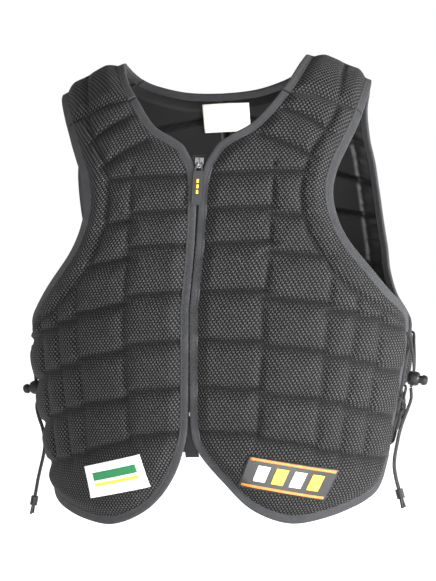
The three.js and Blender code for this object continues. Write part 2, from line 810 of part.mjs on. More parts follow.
const seamHalfGap = seatGap / 2 + 0.05;
const frontGridRows = 16;
const backGridRows = 13;
const frontRowShares = spread(frontGridRows);
const frontEdges = [frontGridInner, frontGridOuter, frontGridHem];
const frontGrid = panelGrid(...frontEdges, frontRowShares, frontColumns, seamHalfGap);
const backNeckRows = 8;
const backNeckShare = lengthOf(backNeckInset) / lengthOf(backGridInner);
const backRowShares = [
  ...spread(backNeckRows).map((share) => share * backNeckShare),
  ...spread(backGridRows).slice(1).map((share) => lerp(backNeckShare, 1, share)),
];
const backEdges = [backGridInner, backGridOuter, backGridHem];
const backGrid = panelGrid(...backEdges, backRowShares, backColumns, -seamHalfGap);

const frontSeamLine = [frontGridInner[0], frontGridOuter[0]];
const backSeamLine = [backGridInner[0], backGridOuter[0]];
const backNeckLine = [...mirrored(backNeckInset), ...[...backNeckInset].reverse()];
const frontBounds = [frontInset, frontSeamLine];
const backBounds = [
  backInset,
  mirrored(backInset),
  backNeckLine,
  backSeamLine,
  mirrored(backSeamLine),
];

const seamPath = (rows, runLength) =>
  rows.map((row) => [
    [row.fromAcross * quarterGirth, row.fromRun * runLength],
    [row.toAcross * quarterGirth, row.toRun * runLength],
  ]);
const frontQuilting = [
  ...seamPath(frontSeams, frontRun),
  clothCurve(armholeSeam, frontRun, 8),
];
const backQuilting = [
  [[0, (backInnerEdge[backInnerEdge.length - 1].run + 0.02) * -backRun], [0, -backRun * 0.98]],
  ...seamPath(backSeams, -backRun),
];
backRows.forEach((row) => {
  const end = row.reach * quarterGirth;
  backQuilting.push([
    [-end, -backRun * row.run],
    [end, -backRun * row.run],
  ]);
});
const backQuiltingBothSides = [...backQuilting, ...seamPath(backSeams, -backRun).map(mirrored)];

function frontPanel(sign) {
  const flip = (line) => (sign > 0 ? line : mirrored(line));
  const bounds = frontBounds.map(flip);
  const cutters = frontQuilting.map((line) => grooveCutter(flip(line), bounds, 1));
  const { positions, faces } = paddedShell(frontGrid.map(flip), bounds);
  return cutWith(facingOut(positions, faces), cutters);
}

function backPanel() {
  const right = paddedShell(backGrid, backBounds, backNeckRows);
  const left = paddedShell(backGrid.map(mirrored), backBounds, backNeckRows);
  const offset = right.positions.length / 3;
  const turned = left.faces.map((_, i) => left.faces[i - (i % 3) + 2 - (i % 3)] + offset);
  const whole = facingOut([...right.positions, ...left.positions], [...right.faces, ...turned]);
  const seenRows = backRows.filter((row) => row.run < 0.45).length;
  const rowLines = backQuilting.slice(-backRows.length);
  const innerQuilting = [backQuilting[0], ...rowLines.slice(0, seenRows)];
  const cutters = [
    ...backQuiltingBothSides.map((line) => grooveCutter(line, backBounds, 1)),
    ...innerQuilting.map((line) => grooveCutter(line, backBounds, -1)),
  ];
  return cutWith(whole, cutters);
}

// Shoulder yokes run over the crest from the back seam to the front seam
const yokeInner = [...[...neckBack.before].reverse(), ...neckFront.before.slice(1)];
const yokeOuter = [...[...armBack.before].reverse(), ...armFront.before.slice(1)];
const yokeInnerInset = offsetLine(yokeInner, -closeInset);
const yokeOuterInset = offsetLine(yokeOuter, closeInset);
// The yoke's ends lie on the panels' seams, and reach a little past the panels' corners
const pastCorner = (corner, other, distance) => {
  const length = Math.hypot(corner[0] - other[0], corner[1] - other[1]);
  return [0, 1].map((k) => corner[k] + ((corner[k] - other[k]) / length) * distance);
};
const extraInset = insetDepth - closeInset;
yokeInnerInset[0] = backGridInner[0];
yokeOuterInset[0] = pastCorner(backGridOuter[0], backGridInner[0], extraInset);
yokeInnerInset[yokeInnerInset.length - 1] = pastCorner(
  frontGridInner[0],
  frontGridOuter[0],
  extraInset,
);
yokeOuterInset[yokeOuterInset.length - 1] = pastCorner(
  frontGridOuter[0],
  frontGridInner[0],
  extraInset,
);

function yoke(sign) {
  const flip = (line) => (sign > 0 ? line : mirrored(line));
  const rows = 12;
  const inner = resample(yokeInnerInset, rows);
  const outer = resample(yokeOuterInset, rows);
  const shares = [0, 0.16, 0.38, 0.62, 0.84, 1];
  const grid = inner.map((p, i) => {
    const shift = (i === 0 ? seamHalfGap : 0) - (i === rows ? seamHalfGap : 0);
    return flip(shares.map((u) => [lerp(p[0], outer[i][0], u), lerp(p[1], outer[i][1], u) + shift]));
  });
  const bounds = [yokeInnerInset, yokeOuterInset, frontSeamLine, backSeamLine].map(flip);
  const seams = seamPath(yokeSeams, frontRun).map((line) => grooveCutter(flip(line), bounds, 1));
  const { positions, faces } = paddedShell(grid, bounds);
  return cutWith(facingOut(positions, faces), seams);
}

// Sides: a place on the side of the vest, measured round from the front middle
function sidePlace(sign, around, run) {
  return around <= quarterGirth
    ? [sign * around, run]
    : [sign * (2 * quarterGirth - around), -run];
}
const sidePoint = (sign, around, run, lift) => lifted(...sidePlace(sign, around, run), lift);

// The holes that the side cords pass
const eyeletHole = (sign, { around, run }) => {
  const reach = bindingThickness;
  const ends = [-reach, reach].map((lift) => sidePoint(sign, around, run, lift));
  return tube(ends, eyeletDiameter / 2, 10);
};
const frontEyelets = (sign) =>
  [eyelets.frontTop, eyelets.frontMiddle, eyelets.frontLow].map((at) => eyeletHole(sign, at));
const backEyelets = [1, -1].flatMap((sign) =>
  [eyelets.backTop, eyelets.backMiddle, eyelets.backLow].map((at) => eyeletHole(sign, at)),
);
const withEyelets = (binding, holes) => cutWith(binding, holes);

for (const [label, sign] of [['left', 1], ['right', -1]]) {
  const flip = (line) => (sign > 0 ? line : mirrored(line));
  const trimmed = (line) => resample(line, Math.round(lengthOf(line) / 2)).slice(1, -1);
  add(`front_panel_${label}`, frontPanel(sign), spacerMesh);
  add(`shoulder_yoke_${label}`, yoke(sign), spacerMesh);
  const frontBar = bindingBar(flip(trimmed(frontPerimeter)), -sign);
  add(`front_binding_${label}`, withEyelets(frontBar, frontEyelets(sign)), bindingCloth);
  add(`yoke_neck_binding_${label}`, bindingBar(flip(trimmed(yokeInner)), -sign, yokeSpacing), bindingCloth);
  add(`yoke_arm_binding_${label}`, bindingBar(flip(trimmed(yokeOuter)), sign, yokeSpacing), bindingCloth);
}
add('back_panel', backPanel(), spacerMesh);
const backNeckPath = [...mirrored(neckBack.after), ...[...neckBack.after].reverse().slice(1)];
const backEdgePath = [...mirrored(armBack.after), ...[...armBack.after].reverse().slice(1)];
const inside = (line) => line.slice(1, -1);
add('back_neck_binding', bindingBar(inside(backNeckPath), -1, neckSpacing), bindingCloth);
add('back_edge_binding', withEyelets(bindingBar(inside(backEdgePath), 1), backEyelets), bindingCloth);

// Geometry placed in a frame on the cloth: x to the wearer's left, y up along it, z out of it
function onCloth(geometry, across, run, lift) {
  const { normal, downward } = frameAt(across, run);
  const up = downward.clone().negate();
  const side = new THREE.Vector3().crossVectors(up, normal).normalize();
  const basis = new THREE.Matrix4().makeBasis(side, up, normal);
  basis.setPosition(lifted(across, run, lift));
  return geometry.applyMatrix4(basis);
}

// Zip: its tapes, chain, end stop and the guard behind them
const flat = (value) => () => value;
const layerBelowBinding = -bindingThickness / 2 - seatGap;
const tapeInner = chainHalfWidth + seatGap;
const tapeLift = layerBelowBinding - tapeThickness / 2;
for (const [label, sign] of [['left', 1], ['right', -1]]) {
  const across = [sign * tapeInner, sign * (tapeInner + tapeWidth)];
  add(
    `zip_tape_${label}`,
    strip(...across, zipTopRun, zipEndRun, flat(tapeLift), tapeThickness, 18),
    tapeCloth,
  );
}
const chainLift = layerBelowBinding - chainThickness / 2;
add(
  'zip_chain',
  strip(-chainHalfWidth, chainHalfWidth, zipTopRun + 2, chainEndRun, flat(chainLift), chainThickness, 18),
  blackPlastic,
);
const stopStart = chainEndRun + seatGap;
add(
  'zip_bottom_stop',
  strip(
    -chainHalfWidth,
    chainHalfWidth,
    stopStart,
    stopStart + stopLength,
    flat(chainLift),
    chainThickness,
    1,
  ),
  darkMetal,
);
const guardLift = layerBelowBinding - chainThickness - seatGap - guardThickness / 2;
add(
  'zip_guard',
  strip(-guardHalfWidth, guardHalfWidth, guardTopRun, guardEndRun, flat(guardLift), guardThickness, 20, 2),
  tapeCloth,
);

// The slider's body with the bridge that its pull hangs on
function extruded(outline, thickness) {
  const shape = new THREE.Shape(outline.map(([x, y]) => new THREE.Vector2(x, y)));
  const geometry = new THREE.ExtrudeGeometry(shape, { depth: thickness, bevelEnabled: false });
  return geometry.translate(0, 0, -thickness / 2);
}
const joined = (pieces) =>
  toGeometry(pieces.map(toSolid).reduce((whole, piece) => whole.add(piece)));
const bridgeTop = sliderThickness / 2 + bridgeRise;
const sliderBody = extruded(
  [
    [-sliderWidth / 2, sliderLength / 2],
    [-sliderWidth / 2, -sliderLength * 0.05],
    [-sliderWidth * 0.33, -sliderLength / 2],
    [sliderWidth * 0.33, -sliderLength / 2],
    [sliderWidth / 2, -sliderLength * 0.05],
    [sliderWidth / 2, sliderLength / 2],
  ],
  sliderThickness,
);
const bridgeCurve = new THREE.CatmullRomCurve3(
  [
    [-bridgeReach, 0],
    [-bridgeReach, bridgeTop * 0.7],
    [-bridgeReach * 0.6, bridgeTop],
    [bridgeReach * 0.6, bridgeTop],
    [bridgeReach, bridgeTop * 0.7],
    [bridgeReach, 0],
  ].map(([y, z]) => new THREE.Vector3(0, y, z)),
);
const bridge = tube(bridgeCurve.getPoints(14), bridgeWire / 2);
const sliderLift = chainLift + chainThickness / 2 + seatGap + sliderThickness / 2 + 0.4;
add('zip_slider', onCloth(joined([sliderBody, bridge]), 0, sliderRun, sliderLift), darkMetal);

// The pull hangs from the bridge and rests just over the bindings
const hingeLift = sliderLift + sliderThickness / 2 + (bridgeRise - bridgeWire / 2) / 2;
const hingePoint = lifted(0, sliderRun, hingeLift);
const pullEnd = lifted(0, sliderRun + pullRingLength + pullLength, pullStandOff);
const pullDown = pullEnd.clone().sub(hingePoint).normalize();
const pullSide = frameAt(0, sliderRun).side;
const pullBasis = new THREE.Matrix4().makeBasis(
  pullSide,
  pullDown.clone().negate(),
  new THREE.Vector3().crossVectors(pullSide, pullDown.clone().negate()),
);
const ringRadius = pullRingWire / 2;
const ringCorner = pullRingHalfWidth - ringRadius;
const ring = tube(
  [
    [-pullRingHalfWidth, -pullRingLength - 2],
    [-pullRingHalfWidth, -ringRadius * 1.6],
    [-ringCorner, 0],
    [ringCorner, 0],
    [pullRingHalfWidth, -ringRadius * 1.6],
    [pullRingHalfWidth, -pullRingLength - 2],
  ].map(([x, y]) => new THREE.Vector3(x, y, 0)),
  ringRadius,
);
const tabRound = pullWidth * 0.28;
const tabTop = -pullRingLength;
const tabBottom = -pullRingLength - pullLength;
const tab = extruded(
  [
    [-pullWidth * 0.42, tabTop],
    [-pullWidth / 2, tabTop - tabRound],
    [-pullWidth / 2, tabBottom + tabRound],
    [-pullWidth * 0.38, tabBottom],
    [pullWidth * 0.38, tabBottom],
    [pullWidth / 2, tabBottom + tabRound],
    [pullWidth / 2, tabTop - tabRound],
    [pullWidth * 0.42, tabTop],
  ],
  pullThickness,
);
const pull = joined([ring, tab]).applyMatrix4(pullBasis.setPosition(hingePoint));
add('zip_pull', pull, blackPlastic);

// The cord of one side: from the lock through the eyelets and back to the lock
function lacePath(sign) {
  const cordLift = lockLift + cordFromLockBase;
  const inCross = 5.2;
  const outCross = 4.6;
  const over = cordDiameter * 1.13;
  const edgeLift = bindingThickness / 2 + cordDiameter * 0.7;
  const through = (eyelet, fromLift, toLift) =>
    [fromLift, 0, toLift].map((lift) => [eyelet.around, eyelet.run, lift]);
  const cross = (from, to, lift) =>
    [0.2, 0.5, 0.8].map((share) => [
      lerp(from.around, to.around, share),
      lerp(from.run, to.run, share),
      lift,
    ]);
  const atLock = (offset) => [sideMiddle + offset, lockRun, cordLift];
  const belowLock = (offset) => [sideMiddle + offset, lockRun + cordPastLock, cordLift];
  const aboveLock = (offset) => [sideMiddle + offset, lockRun - cordPastLock, cordLift];
  const { frontTop, frontMiddle, frontLow, backTop, backMiddle, backLow } = eyelets;
  const places = [
    belowLock(-cordSpread),
    atLock(-cordSpread),
    aboveLock(-cordSpread),
    [lerp(sideMiddle, frontTop.around, 0.6), lerp(lockRun, frontTop.run, 0.75), 6.4],
    ...through(frontTop, edgeLift, -edgeLift),
    ...cross(frontTop, backMiddle, -inCross),
    ...through(backMiddle, -edgeLift, edgeLift),
    ...cross(backMiddle, frontLow, outCross),
    ...through(frontLow, edgeLift, -edgeLift),
    ...cross(frontLow, backLow, -inCross),
    ...through(backLow, -edgeLift, edgeLift),
    ...cross(backLow, frontMiddle, outCross + over),
    ...through(frontMiddle, edgeLift, -edgeLift),
    ...cross(frontMiddle, backTop, -inCross - over),
    ...through(backTop, -edgeLift, edgeLift),
    [lerp(sideMiddle, backTop.around, 0.6), lerp(lockRun, backTop.run, 0.75), 6.4],
    aboveLock(cordSpread),
    atLock(cordSpread),
    belowLock(cordSpread),
  ];
  return places.map(([around, run, lift]) => sidePoint(sign, around, run, lift));
}

function lathe(profile, sides = 16) {
  const rings = profile.map(([radius, height]) =>
    Array.from({ length: sides }, (_, k) => {
      const angle = (k / sides) * Math.PI * 2;
      return new THREE.Vector3(Math.cos(angle) * radius, Math.sin(angle) * radius, height);
    }),
  );
  return loft(rings);
}

// The hard body of a cord lock, with its bore and the hole that the cords pass
function lockBody() {
  const body = lathe([
    [lockRadius * 0.66, 0],
    [lockRadius * 0.9, lockLength * 0.12],
    [lockRadius, lockLength * 0.36],
    [lockRadius, lockLength * 0.62],
    [lockRadius * 0.92, lockLength * 0.86],
    [lockRadius * 0.8, lockLength],
  ]);
  const bore = lathe([
    [lockBore, lockFloor],
    [lockBore, lockLength + 1],
  ]);
  const holeHalfWidth = cordSpread + cordDiameter / 2 + cordHoleClearance;
  const hole = new THREE.BoxGeometry(
    holeHalfWidth * 2,
    lockRadius * 4,
    cordDiameter + cordHoleClearance * 2,
  ).translate(0, 0, cordFromLockBase);
  return cutWith(body, [bore, hole]);
}

// The plunger stands out of the bore by its travel, and its round head ends it
function lockPlunger() {
  const stemRadius = lockBore - plungerClearance;
  const stemStart = cordFromLockBase + cordDiameter / 2 + plungerClearance + plungerTravel;
  const headStart = lockLength + plungerTravel + plungerClearance;
  const headRound = plungerHeadRadius * 0.3;
  return lathe([
    [stemRadius, stemStart],
    [stemRadius, headStart],
    [plungerHeadRadius, headStart],
    [plungerHeadRadius, headStart + plungerHeadLength - headRound * 2],
    [plungerHeadRadius - headRound * 0.6, headStart + plungerHeadLength - headRound * 0.6],
    [plungerHeadRadius * 0.5, headStart + plungerHeadLength],
  ]);
}

// The doubled cords that hang below a lock, and the barrel with two tips that ends them
function hangingLine(sign, offset) {
  const points = (sign > 0 ? hangingPaths.left : hangingPaths.right).map(({ around, run, lift }) =>
    sidePoint(sign, around + offset, run, lift),
  );
  return new THREE.CatmullRomCurve3(points, false, 'centripetal').getSpacedPoints(14);
}
function cordEnd(sign) {
  const [left, right] = [-cordSpread, cordSpread].map((offset) => hangingLine(sign, offset));
  const last = left.length - 1;
  const end = left[last].clone().add(right[last]).multiplyScalar(0.5);
  const before = left[last - 1].clone().add(right[last - 1]).multiplyScalar(0.5);
  const down = end.clone().sub(before).normalize();
  const spreadWay = right[last].clone().sub(left[last]).normalize();
  const start = end.clone().addScaledVector(down, seatGap);
  const finish = start.clone().addScaledVector(down, barrelLength);
  const barrel = tube([start, finish], barrelRadius, 12);
  const tips = [-1, 1].map((way) => {
    const from = finish.clone().addScaledVector(spreadWay, way * cordSpread).addScaledVector(down, -2);
    const to = from
      .clone()
      .addScaledVector(down, tipLength + 2)
      .addScaledVector(spreadWay, way * cordDiameter);
    return tube([from, to], cordDiameter / 2);
  });
  return joined([barrel, ...tips]);
}

for (const [label, sign] of [['left', 1], ['right', -1]]) {
  const place = sidePlace(sign, sideMiddle, lockRun);
  const laceCurve = new THREE.CatmullRomCurve3(lacePath(sign), false, 'centripetal');
  const lace = tube(laceCurve.getPoints(62), cordDiameter / 2, 5);
  add(`side_lace_${label}`, lace, cordCloth);
  add(`cord_lock_body_${label}`, onCloth(lockBody(), ...place, lockLift), blackPlastic);
  add(`cord_lock_plunger_${label}`, onCloth(lockPlunger(), ...place, lockLift), blackPlastic);
  for (const [order, offset] of [['front', -cordSpread], ['back', cordSpread]]) {
    const cord = tube(hangingLine(sign, offset), cordDiameter / 2, 6);
    add(`hanging_cord_${order}_${label}`, cord, cordCloth);
  }
  add(`cord_end_${label}`, cordEnd(sign), blackPlastic);
}

// Care label on the inner face of the back, just under the neck binding
const backPadDepth = (across, run) =>
  swell(padIn, Math.min(...backBounds.map((line) => distanceTo(line, across, run))));
const labelTop = backNeckMiddle[1] - 1;
add(
  'care_label',
  strip(
    labelAcross - labelWidth / 2,
    labelAcross + labelWidth / 2,
    labelTop,
    labelTop - labelHeight,
    (across, run) => -(backPadDepth(across, run) + labelStandOff + labelThickness / 2),
    labelThickness,
    5,
    6,
  ),
  labelCloth,
);

// A badge that follows the face of a hem lobe
function badgePlate({ sign, across, run, width, height, turn, lean }) {
  const bounds = frontBounds.map((line) => (sign > 0 ? line : mirrored(line)));
  const ways = { along: 12, up: 4 };
  const rings = spread(ways.along).map((u) => {
    const place = (v, side) => {
      const local = [(u - 0.5) * width + (v - 0.5) * height * lean * -sign, (v - 0.5) * height];
      const angle = degrees(turn) * sign;
      const at = [
        sign * across + local[0] * Math.cos(angle) - local[1] * Math.sin(angle),
        run + local[0] * Math.sin(angle) + local[1] * Math.cos(angle),
      ];
      const distance = Math.min(...bounds.map((line) => distanceTo(line, ...at)));
      const middle = swell(padOut, distance) + seatGap + badgeThickness / 2;
      return lifted(...at, middle + (side * badgeThickness) / 2);
    };
    const ups = spread(ways.up);
    return [...ups.map((v) => place(v, 1)), ...ups.reverse().map((v) => place(v, -1))];
  });
  return loft(rings);
}
badges.forEach((badge) => {
  add(badge.name, badgePlate(badge), badge.sign > 0 ? badgeBlack : badgeWhite);
});

export default vest;
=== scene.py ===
"""Looks of the riding body protector: quilted spacer mesh, twill bindings, zip, laced sides and badges.

The worn form is the same as in the part's source: across and run are millimetres along the cloth,
and lift is the height off it. Objects are made in metres.
"""
import math

import bmesh
import bpy
import numpy as np
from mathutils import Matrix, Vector, noise


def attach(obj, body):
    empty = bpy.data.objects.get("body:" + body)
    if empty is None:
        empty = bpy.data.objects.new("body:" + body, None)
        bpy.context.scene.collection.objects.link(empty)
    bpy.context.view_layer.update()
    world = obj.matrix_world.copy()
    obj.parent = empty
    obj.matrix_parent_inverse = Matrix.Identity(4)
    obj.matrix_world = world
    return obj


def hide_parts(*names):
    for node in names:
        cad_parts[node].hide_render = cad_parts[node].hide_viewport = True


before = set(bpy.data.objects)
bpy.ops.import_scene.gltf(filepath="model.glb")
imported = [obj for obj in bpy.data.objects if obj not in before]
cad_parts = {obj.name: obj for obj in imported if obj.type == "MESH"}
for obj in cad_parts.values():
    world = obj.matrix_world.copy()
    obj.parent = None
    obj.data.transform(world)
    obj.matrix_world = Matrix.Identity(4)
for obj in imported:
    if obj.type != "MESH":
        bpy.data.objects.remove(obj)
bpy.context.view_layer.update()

MM = 0.001

# Driving sizes of the worn form, in millimetres
CHEST_HALF_WIDTH = 215
FRONT_DEPTH = 121
BACK_DEPTH = 110
RIDGE_HEIGHT = 30
CREST_DROP = 170
BODY_DROP = 506
FRONT_RUN = 564
BACK_RUN = 513
NECK_HALF_WIDTH = 100
SHOULDER_SLOPE = 0.5
GIRTH_POWER = 2.4
CREST_POWER = 2.2
TWIST_TOP = 5.1
TWIST_WAIST = -3.7
HANG_RISE = 0.04
SHOULDER_SWAY = 4.5
ZIP_SHIFT = 8.5
ZIP_SHIFT_REACH = 0.75
BACK_SHIFT = 6

# Levels and runs where those shifts come in or fade out: the start, and over how far
SLOPE_LEVELS = (-1.07 * CHEST_HALF_WIDTH, 0.93 * CHEST_HALF_WIDTH)
TWIST_LEVELS = (-250, 220)
SWAY_LEVELS = (-210, 170)
ZIP_SHIFT_IN, ZIP_SHIFT_OUT = (0, 90), (470, 60)
BACK_SHIFT_IN, BACK_SHIFT_OUT = (0, 150), (260, 100)

# Padding and trim
PAD_OUT = 7.0
PAD_IN = 8.5
EDGE_HALF = 1.3
PAD_SLOPE = 14.0
BINDING_WIDTH = 9.0
BINDING_HALF = 2.0
YOKE_FRONT_RUN = 105
YOKE_BACK_RUN = 46
SEAT_GAP = 0.3
BINDING_OVERLAP = 0.5

# Quilting: stitched channels, and the crowned blocks between them
QUILTING_DEPTH = 0.64
UPRIGHT_DEPTH = 0.72
SEAM_WIDTH = 3.0
SEAM_WIDTH_BELOW = 8.5
ARMHOLE_SEAM_DEPTH = 0.8
ARMHOLE_SEAM_WIDTH = 3.4
YOKE_SEAM_DEPTH = 0.7
CROWN = 2.0
CROWN_REACH = 20
YOKE_CROWN_REACH = 16

# The back's lining: gaps between its blocks, the painted shade in those gaps and beside the binding,
# and the satin strip along the armholes
INNER_RISE = 14
INNER_BEND = 0.55
GAP_DEPTH = 0.62
GAP_WIDTH = 3.6
GAP_SHADE_FADE = (1.8, 1.4)
EDGE_SHADE_FADE = (8, 1.5)
STRIP_FADE = (23, 4)
STRIP_END = (BACK_RUN * 0.64, 20)
STRIP_TONE = 0.75

# Zip
ZIP_HALF_GAP = 1.2
SLIDER_RUN = 186
CHAIN_LIFT = -3.0
CHAIN_THICKNESS = 1.4
SLIDER_THICKNESS = 3
BRIDGE_RISE = 3.6
BRIDGE_WIRE = 1.6
PULL_LENGTH = 36
PULL_RING_LENGTH = 9
PULL_THICKNESS = 1.8
PULL_STAND_OFF = 7.5

# Side lacing
SIDE_MIDDLE = 268
CORD_DIAMETER = 3.0
LOCK_RUN = 419
LOCK_LIFT = 6
CORD_FROM_LOCK_BASE = 5
CORD_SPREAD = 1.7
CORD_PAST_LOCK = 9.5

# Label and badges
LABEL_WIDTH = 57
LABEL_HEIGHT = 36
LABEL_ACROSS = 3
LABEL_STAND_OFF = 1.6
LABEL_WAVE = 0.5

# Sections of the form: how far down, and width, front and back depth as shares
SECTIONS = np.array([
    (0.0, 0.953, 0.926, 0.95),
    (0.336, 0.991, 0.926, 0.96),
    (0.553, 0.989, 0.992, 1.0),
    (0.66, 0.96, 0.997, 0.99),
    (0.75, 0.926, 1.0, 0.98),
    (0.889, 0.873, 0.985, 0.95),
    (1.0, 0.858, 0.955, 0.91),
])
WIDTH, FRONT, BACK = 1, 2, 3

# Edges of the cut pieces: across as a share of the quarter girth, run of the cloth's length
FRONT_INNER = [
    (0.382, 0), (0.369, 0.074), (0.327, 0.146), (0.287, 0.186), (0.191, 0.253),
    (0.109, 0.279), (0.067, 0.294), (0.043, 0.312), (0.022, 0.332), (0.0085, 0.359),
]
FRONT_LOWER = [
    (0.009, 0.823), (0.018, 0.842), (0.034, 0.859), (0.055, 0.877), (0.085, 0.897),
    (0.122, 0.918), (0.165, 0.94), (0.215, 0.96), (0.28, 0.977), (0.36, 0.99),
    (0.43, 0.994), (0.56, 0.986), (0.66, 0.975), (0.75, 0.963), (0.82, 0.949),
    (0.872, 0.926), (0.909, 0.894),
]
FRONT_OUTER = [
    (0.682, 0), (0.666, 0.083), (0.622, 0.161), (0.572, 0.229), (0.539, 0.271),
    (0.499, 0.326), (0.482, 0.374), (0.495, 0.42), (0.54, 0.471), (0.637, 0.529),
    (0.742, 0.577), (0.822, 0.601), (0.873, 0.619), (0.903, 0.646), (0.912, 0.694),
    (0.912, 0.789), (0.912, 0.866),
]
BACK_INNER = [
    (0.382, 0), (0.372, 0.048), (0.347, 0.085), (0.305, 0.111), (0.24, 0.13),
    (0.16, 0.144), (0.08, 0.15), (0.0, 0.152),
]
BACK_OUTER = [
    (0.682, 0), (0.674, 0.083), (0.655, 0.15), (0.658, 0.216), (0.672, 0.273),
    (0.674, 0.351), (0.67, 0.448), (0.674, 0.52), (0.692, 0.59), (0.747, 0.646),
    (0.835, 0.681), (0.92, 0.709), (0.966, 0.752), (0.976, 0.828), (0.975, 0.904),
    (0.93, 0.954),
]
BACK_LOWER = [(0.88, 0.969), (0.75, 0.977), (0.5, 0.988), (0.25, 0.997), (0.0, 0.999)]

# Stitched lines: from across, from run, to across, to run
FRONT_UPRIGHTS = [
    (0.267, 0.336, 0.267, 0.83), (0.49, 0.541, 0.49, 0.857),
    (0.592, 0.584, 0.592, 0.869), (0.698, 0.603, 0.698, 0.88),
]
FRONT_ROWS = [
    (0.03, 0.352, 0.37, 0.347), (0.03, 0.416, 0.267, 0.415), (0.03, 0.479, 0.267, 0.479),
    (0.02, 0.565, 0.267, 0.569), (0.02, 0.653, 0.267, 0.659), (0.02, 0.739, 0.267, 0.745),
    (0.03, 0.82, 0.267, 0.827), (0.267, 0.428, 0.37, 0.431), (0.267, 0.498, 0.45, 0.509),
    (0.267, 0.581, 0.49, 0.598), (0.267, 0.667, 0.49, 0.682), (0.267, 0.756, 0.49, 0.767),
    (0.267, 0.833, 0.49, 0.854), (0.49, 0.61, 0.592, 0.614), (0.49, 0.691, 0.592, 0.696),
    (0.49, 0.774, 0.592, 0.779), (0.49, 0.86, 0.592, 0.865), (0.592, 0.622, 0.698, 0.629),
    (0.592, 0.703, 0.698, 0.71), (0.592, 0.786, 0.698, 0.793), (0.592, 0.873, 0.698, 0.877),
    (0.698, 0.638, 0.89, 0.651), (0.698, 0.719, 0.89, 0.732), (0.698, 0.801, 0.89, 0.813),
    (0.698, 0.881, 0.89, 0.89), (0.3, 0.226, 0.45, 0.253), (0.22, 0.28, 0.39, 0.313),
]
ARMHOLE_SEAM = [
    (0.5, 0.186), (0.45, 0.253), (0.39, 0.313), (0.365, 0.377), (0.375, 0.436),
    (0.415, 0.485), (0.49, 0.541), (0.592, 0.584), (0.698, 0.608), (0.88, 0.645),
]
BACK_UPRIGHTS = [(0.0, 0.172, 0.0, 0.98), (0.42, 0.119, 0.42, 0.976), (-0.42, 0.119, -0.42, 0.976)]
BACK_ROWS = [
    (-0.645, 0.235, 0.645, 0.235), (-0.655, 0.335, 0.655, 0.335), (-0.655, 0.435, 0.655, 0.435),
    (-0.67, 0.57, 0.67, 0.57), (-0.885, 0.705, 0.885, 0.705), (-0.95, 0.84, 0.95, 0.84),
]
YOKE_SEAM = (0.545, 0.03, 0.5, 0.176)

# Eyelets of one side: measured round from the front middle, and along the cloth
EYELETS = {
    "front_top": (246.2, 372), "front_middle": (248.4, 440), "front_low": (248.4, 487),
    "back_top": (298.5, 372), "back_middle": (288.7, 430), "back_low": (290.4, 466),
}
# The free cords below each lock: around, run, lift
HANGING_PATHS = {
    1: [
        (268, 429.6, 11), (264, 440, 13.5), (257, 452, 12.6), (252.5, 464, 11), (250, 476, 10),
        (250, 488, 9.5), (250, 500, 9), (250, 512, 9.6), (250, 524, 12.3), (250, 536, 16),
    ],
    -1: [
        (268, 429.6, 11), (265, 440, 14), (262.5, 452, 12.9), (262, 464, 10.8), (262, 476, 10.2),
        (262, 488, 12), (262, 500, 15.9), (262, 512, 20.1), (262, 524, 23.6), (262, 536, 26.3),
        (262, 544, 28.1),
    ],
}


def lerp(a, b, share):
    return a + (b - a) * share


def smooth(value):
    t = np.clip(value, 0, 1)
    return t * t * (3 - 2 * t)


def step_up(value, start, span):
    """A smooth step from 0 at start to 1 a span further on."""
    return smooth((value - start) / span)


def side_name(sign):
    return "left" if sign > 0 else "right"


class Quadrant:
    """A superellipse quadrant read by its share of the arc."""

    def __init__(self, width, depth, power):
        angle = np.linspace(0, np.pi / 2, 401)
        self.x = np.sin(angle) ** (2 / power)
        self.y = np.clip(np.cos(angle), 0, 1) ** (2 / power)
        steps = np.hypot(np.diff(self.x) * width, np.diff(self.y) * depth)
        self.at = np.concatenate([[0], np.cumsum(steps)])
        self.length = self.at[-1]

    def read(self, share):
        target = np.clip(share, 0, 1) * self.length
        return np.interp(target, self.at, self.x), np.interp(target, self.at, self.y)


girth = Quadrant(CHEST_HALF_WIDTH, FRONT_DEPTH, GIRTH_POWER)
crest = Quadrant(FRONT_DEPTH * SECTIONS[0, FRONT], CREST_DROP, CREST_POWER)
QUARTER = girth.length
CREST_RUN = crest.length


def section_value(column, down):
    """A column of the section table on a smooth curve through its rows."""
    downs = SECTIONS[:, 0]
    values = SECTIONS[:, column]
    last = len(downs) - 1
    k = np.arange(last + 1)
    a, b = np.maximum(0, k - 1), np.minimum(last, k + 1)
    slopes = (values[b] - values[a]) / (downs[b] - downs[a])
    i = np.clip(np.searchsorted(downs[1:], down, side="left"), 0, last - 1)
    span = downs[i + 1] - downs[i]
    t = np.clip((down - downs[i]) / span, 0, 1)
    t2, t3 = t * t, t * t * t
    return (
        values[i] * (2 * t3 - 3 * t2 + 1)
        + slopes[i] * span * (t3 - 2 * t2 + t)
        + values[i + 1] * (3 * t2 - 2 * t3)
        + slopes[i + 1] * span * (t3 - t2)
    )


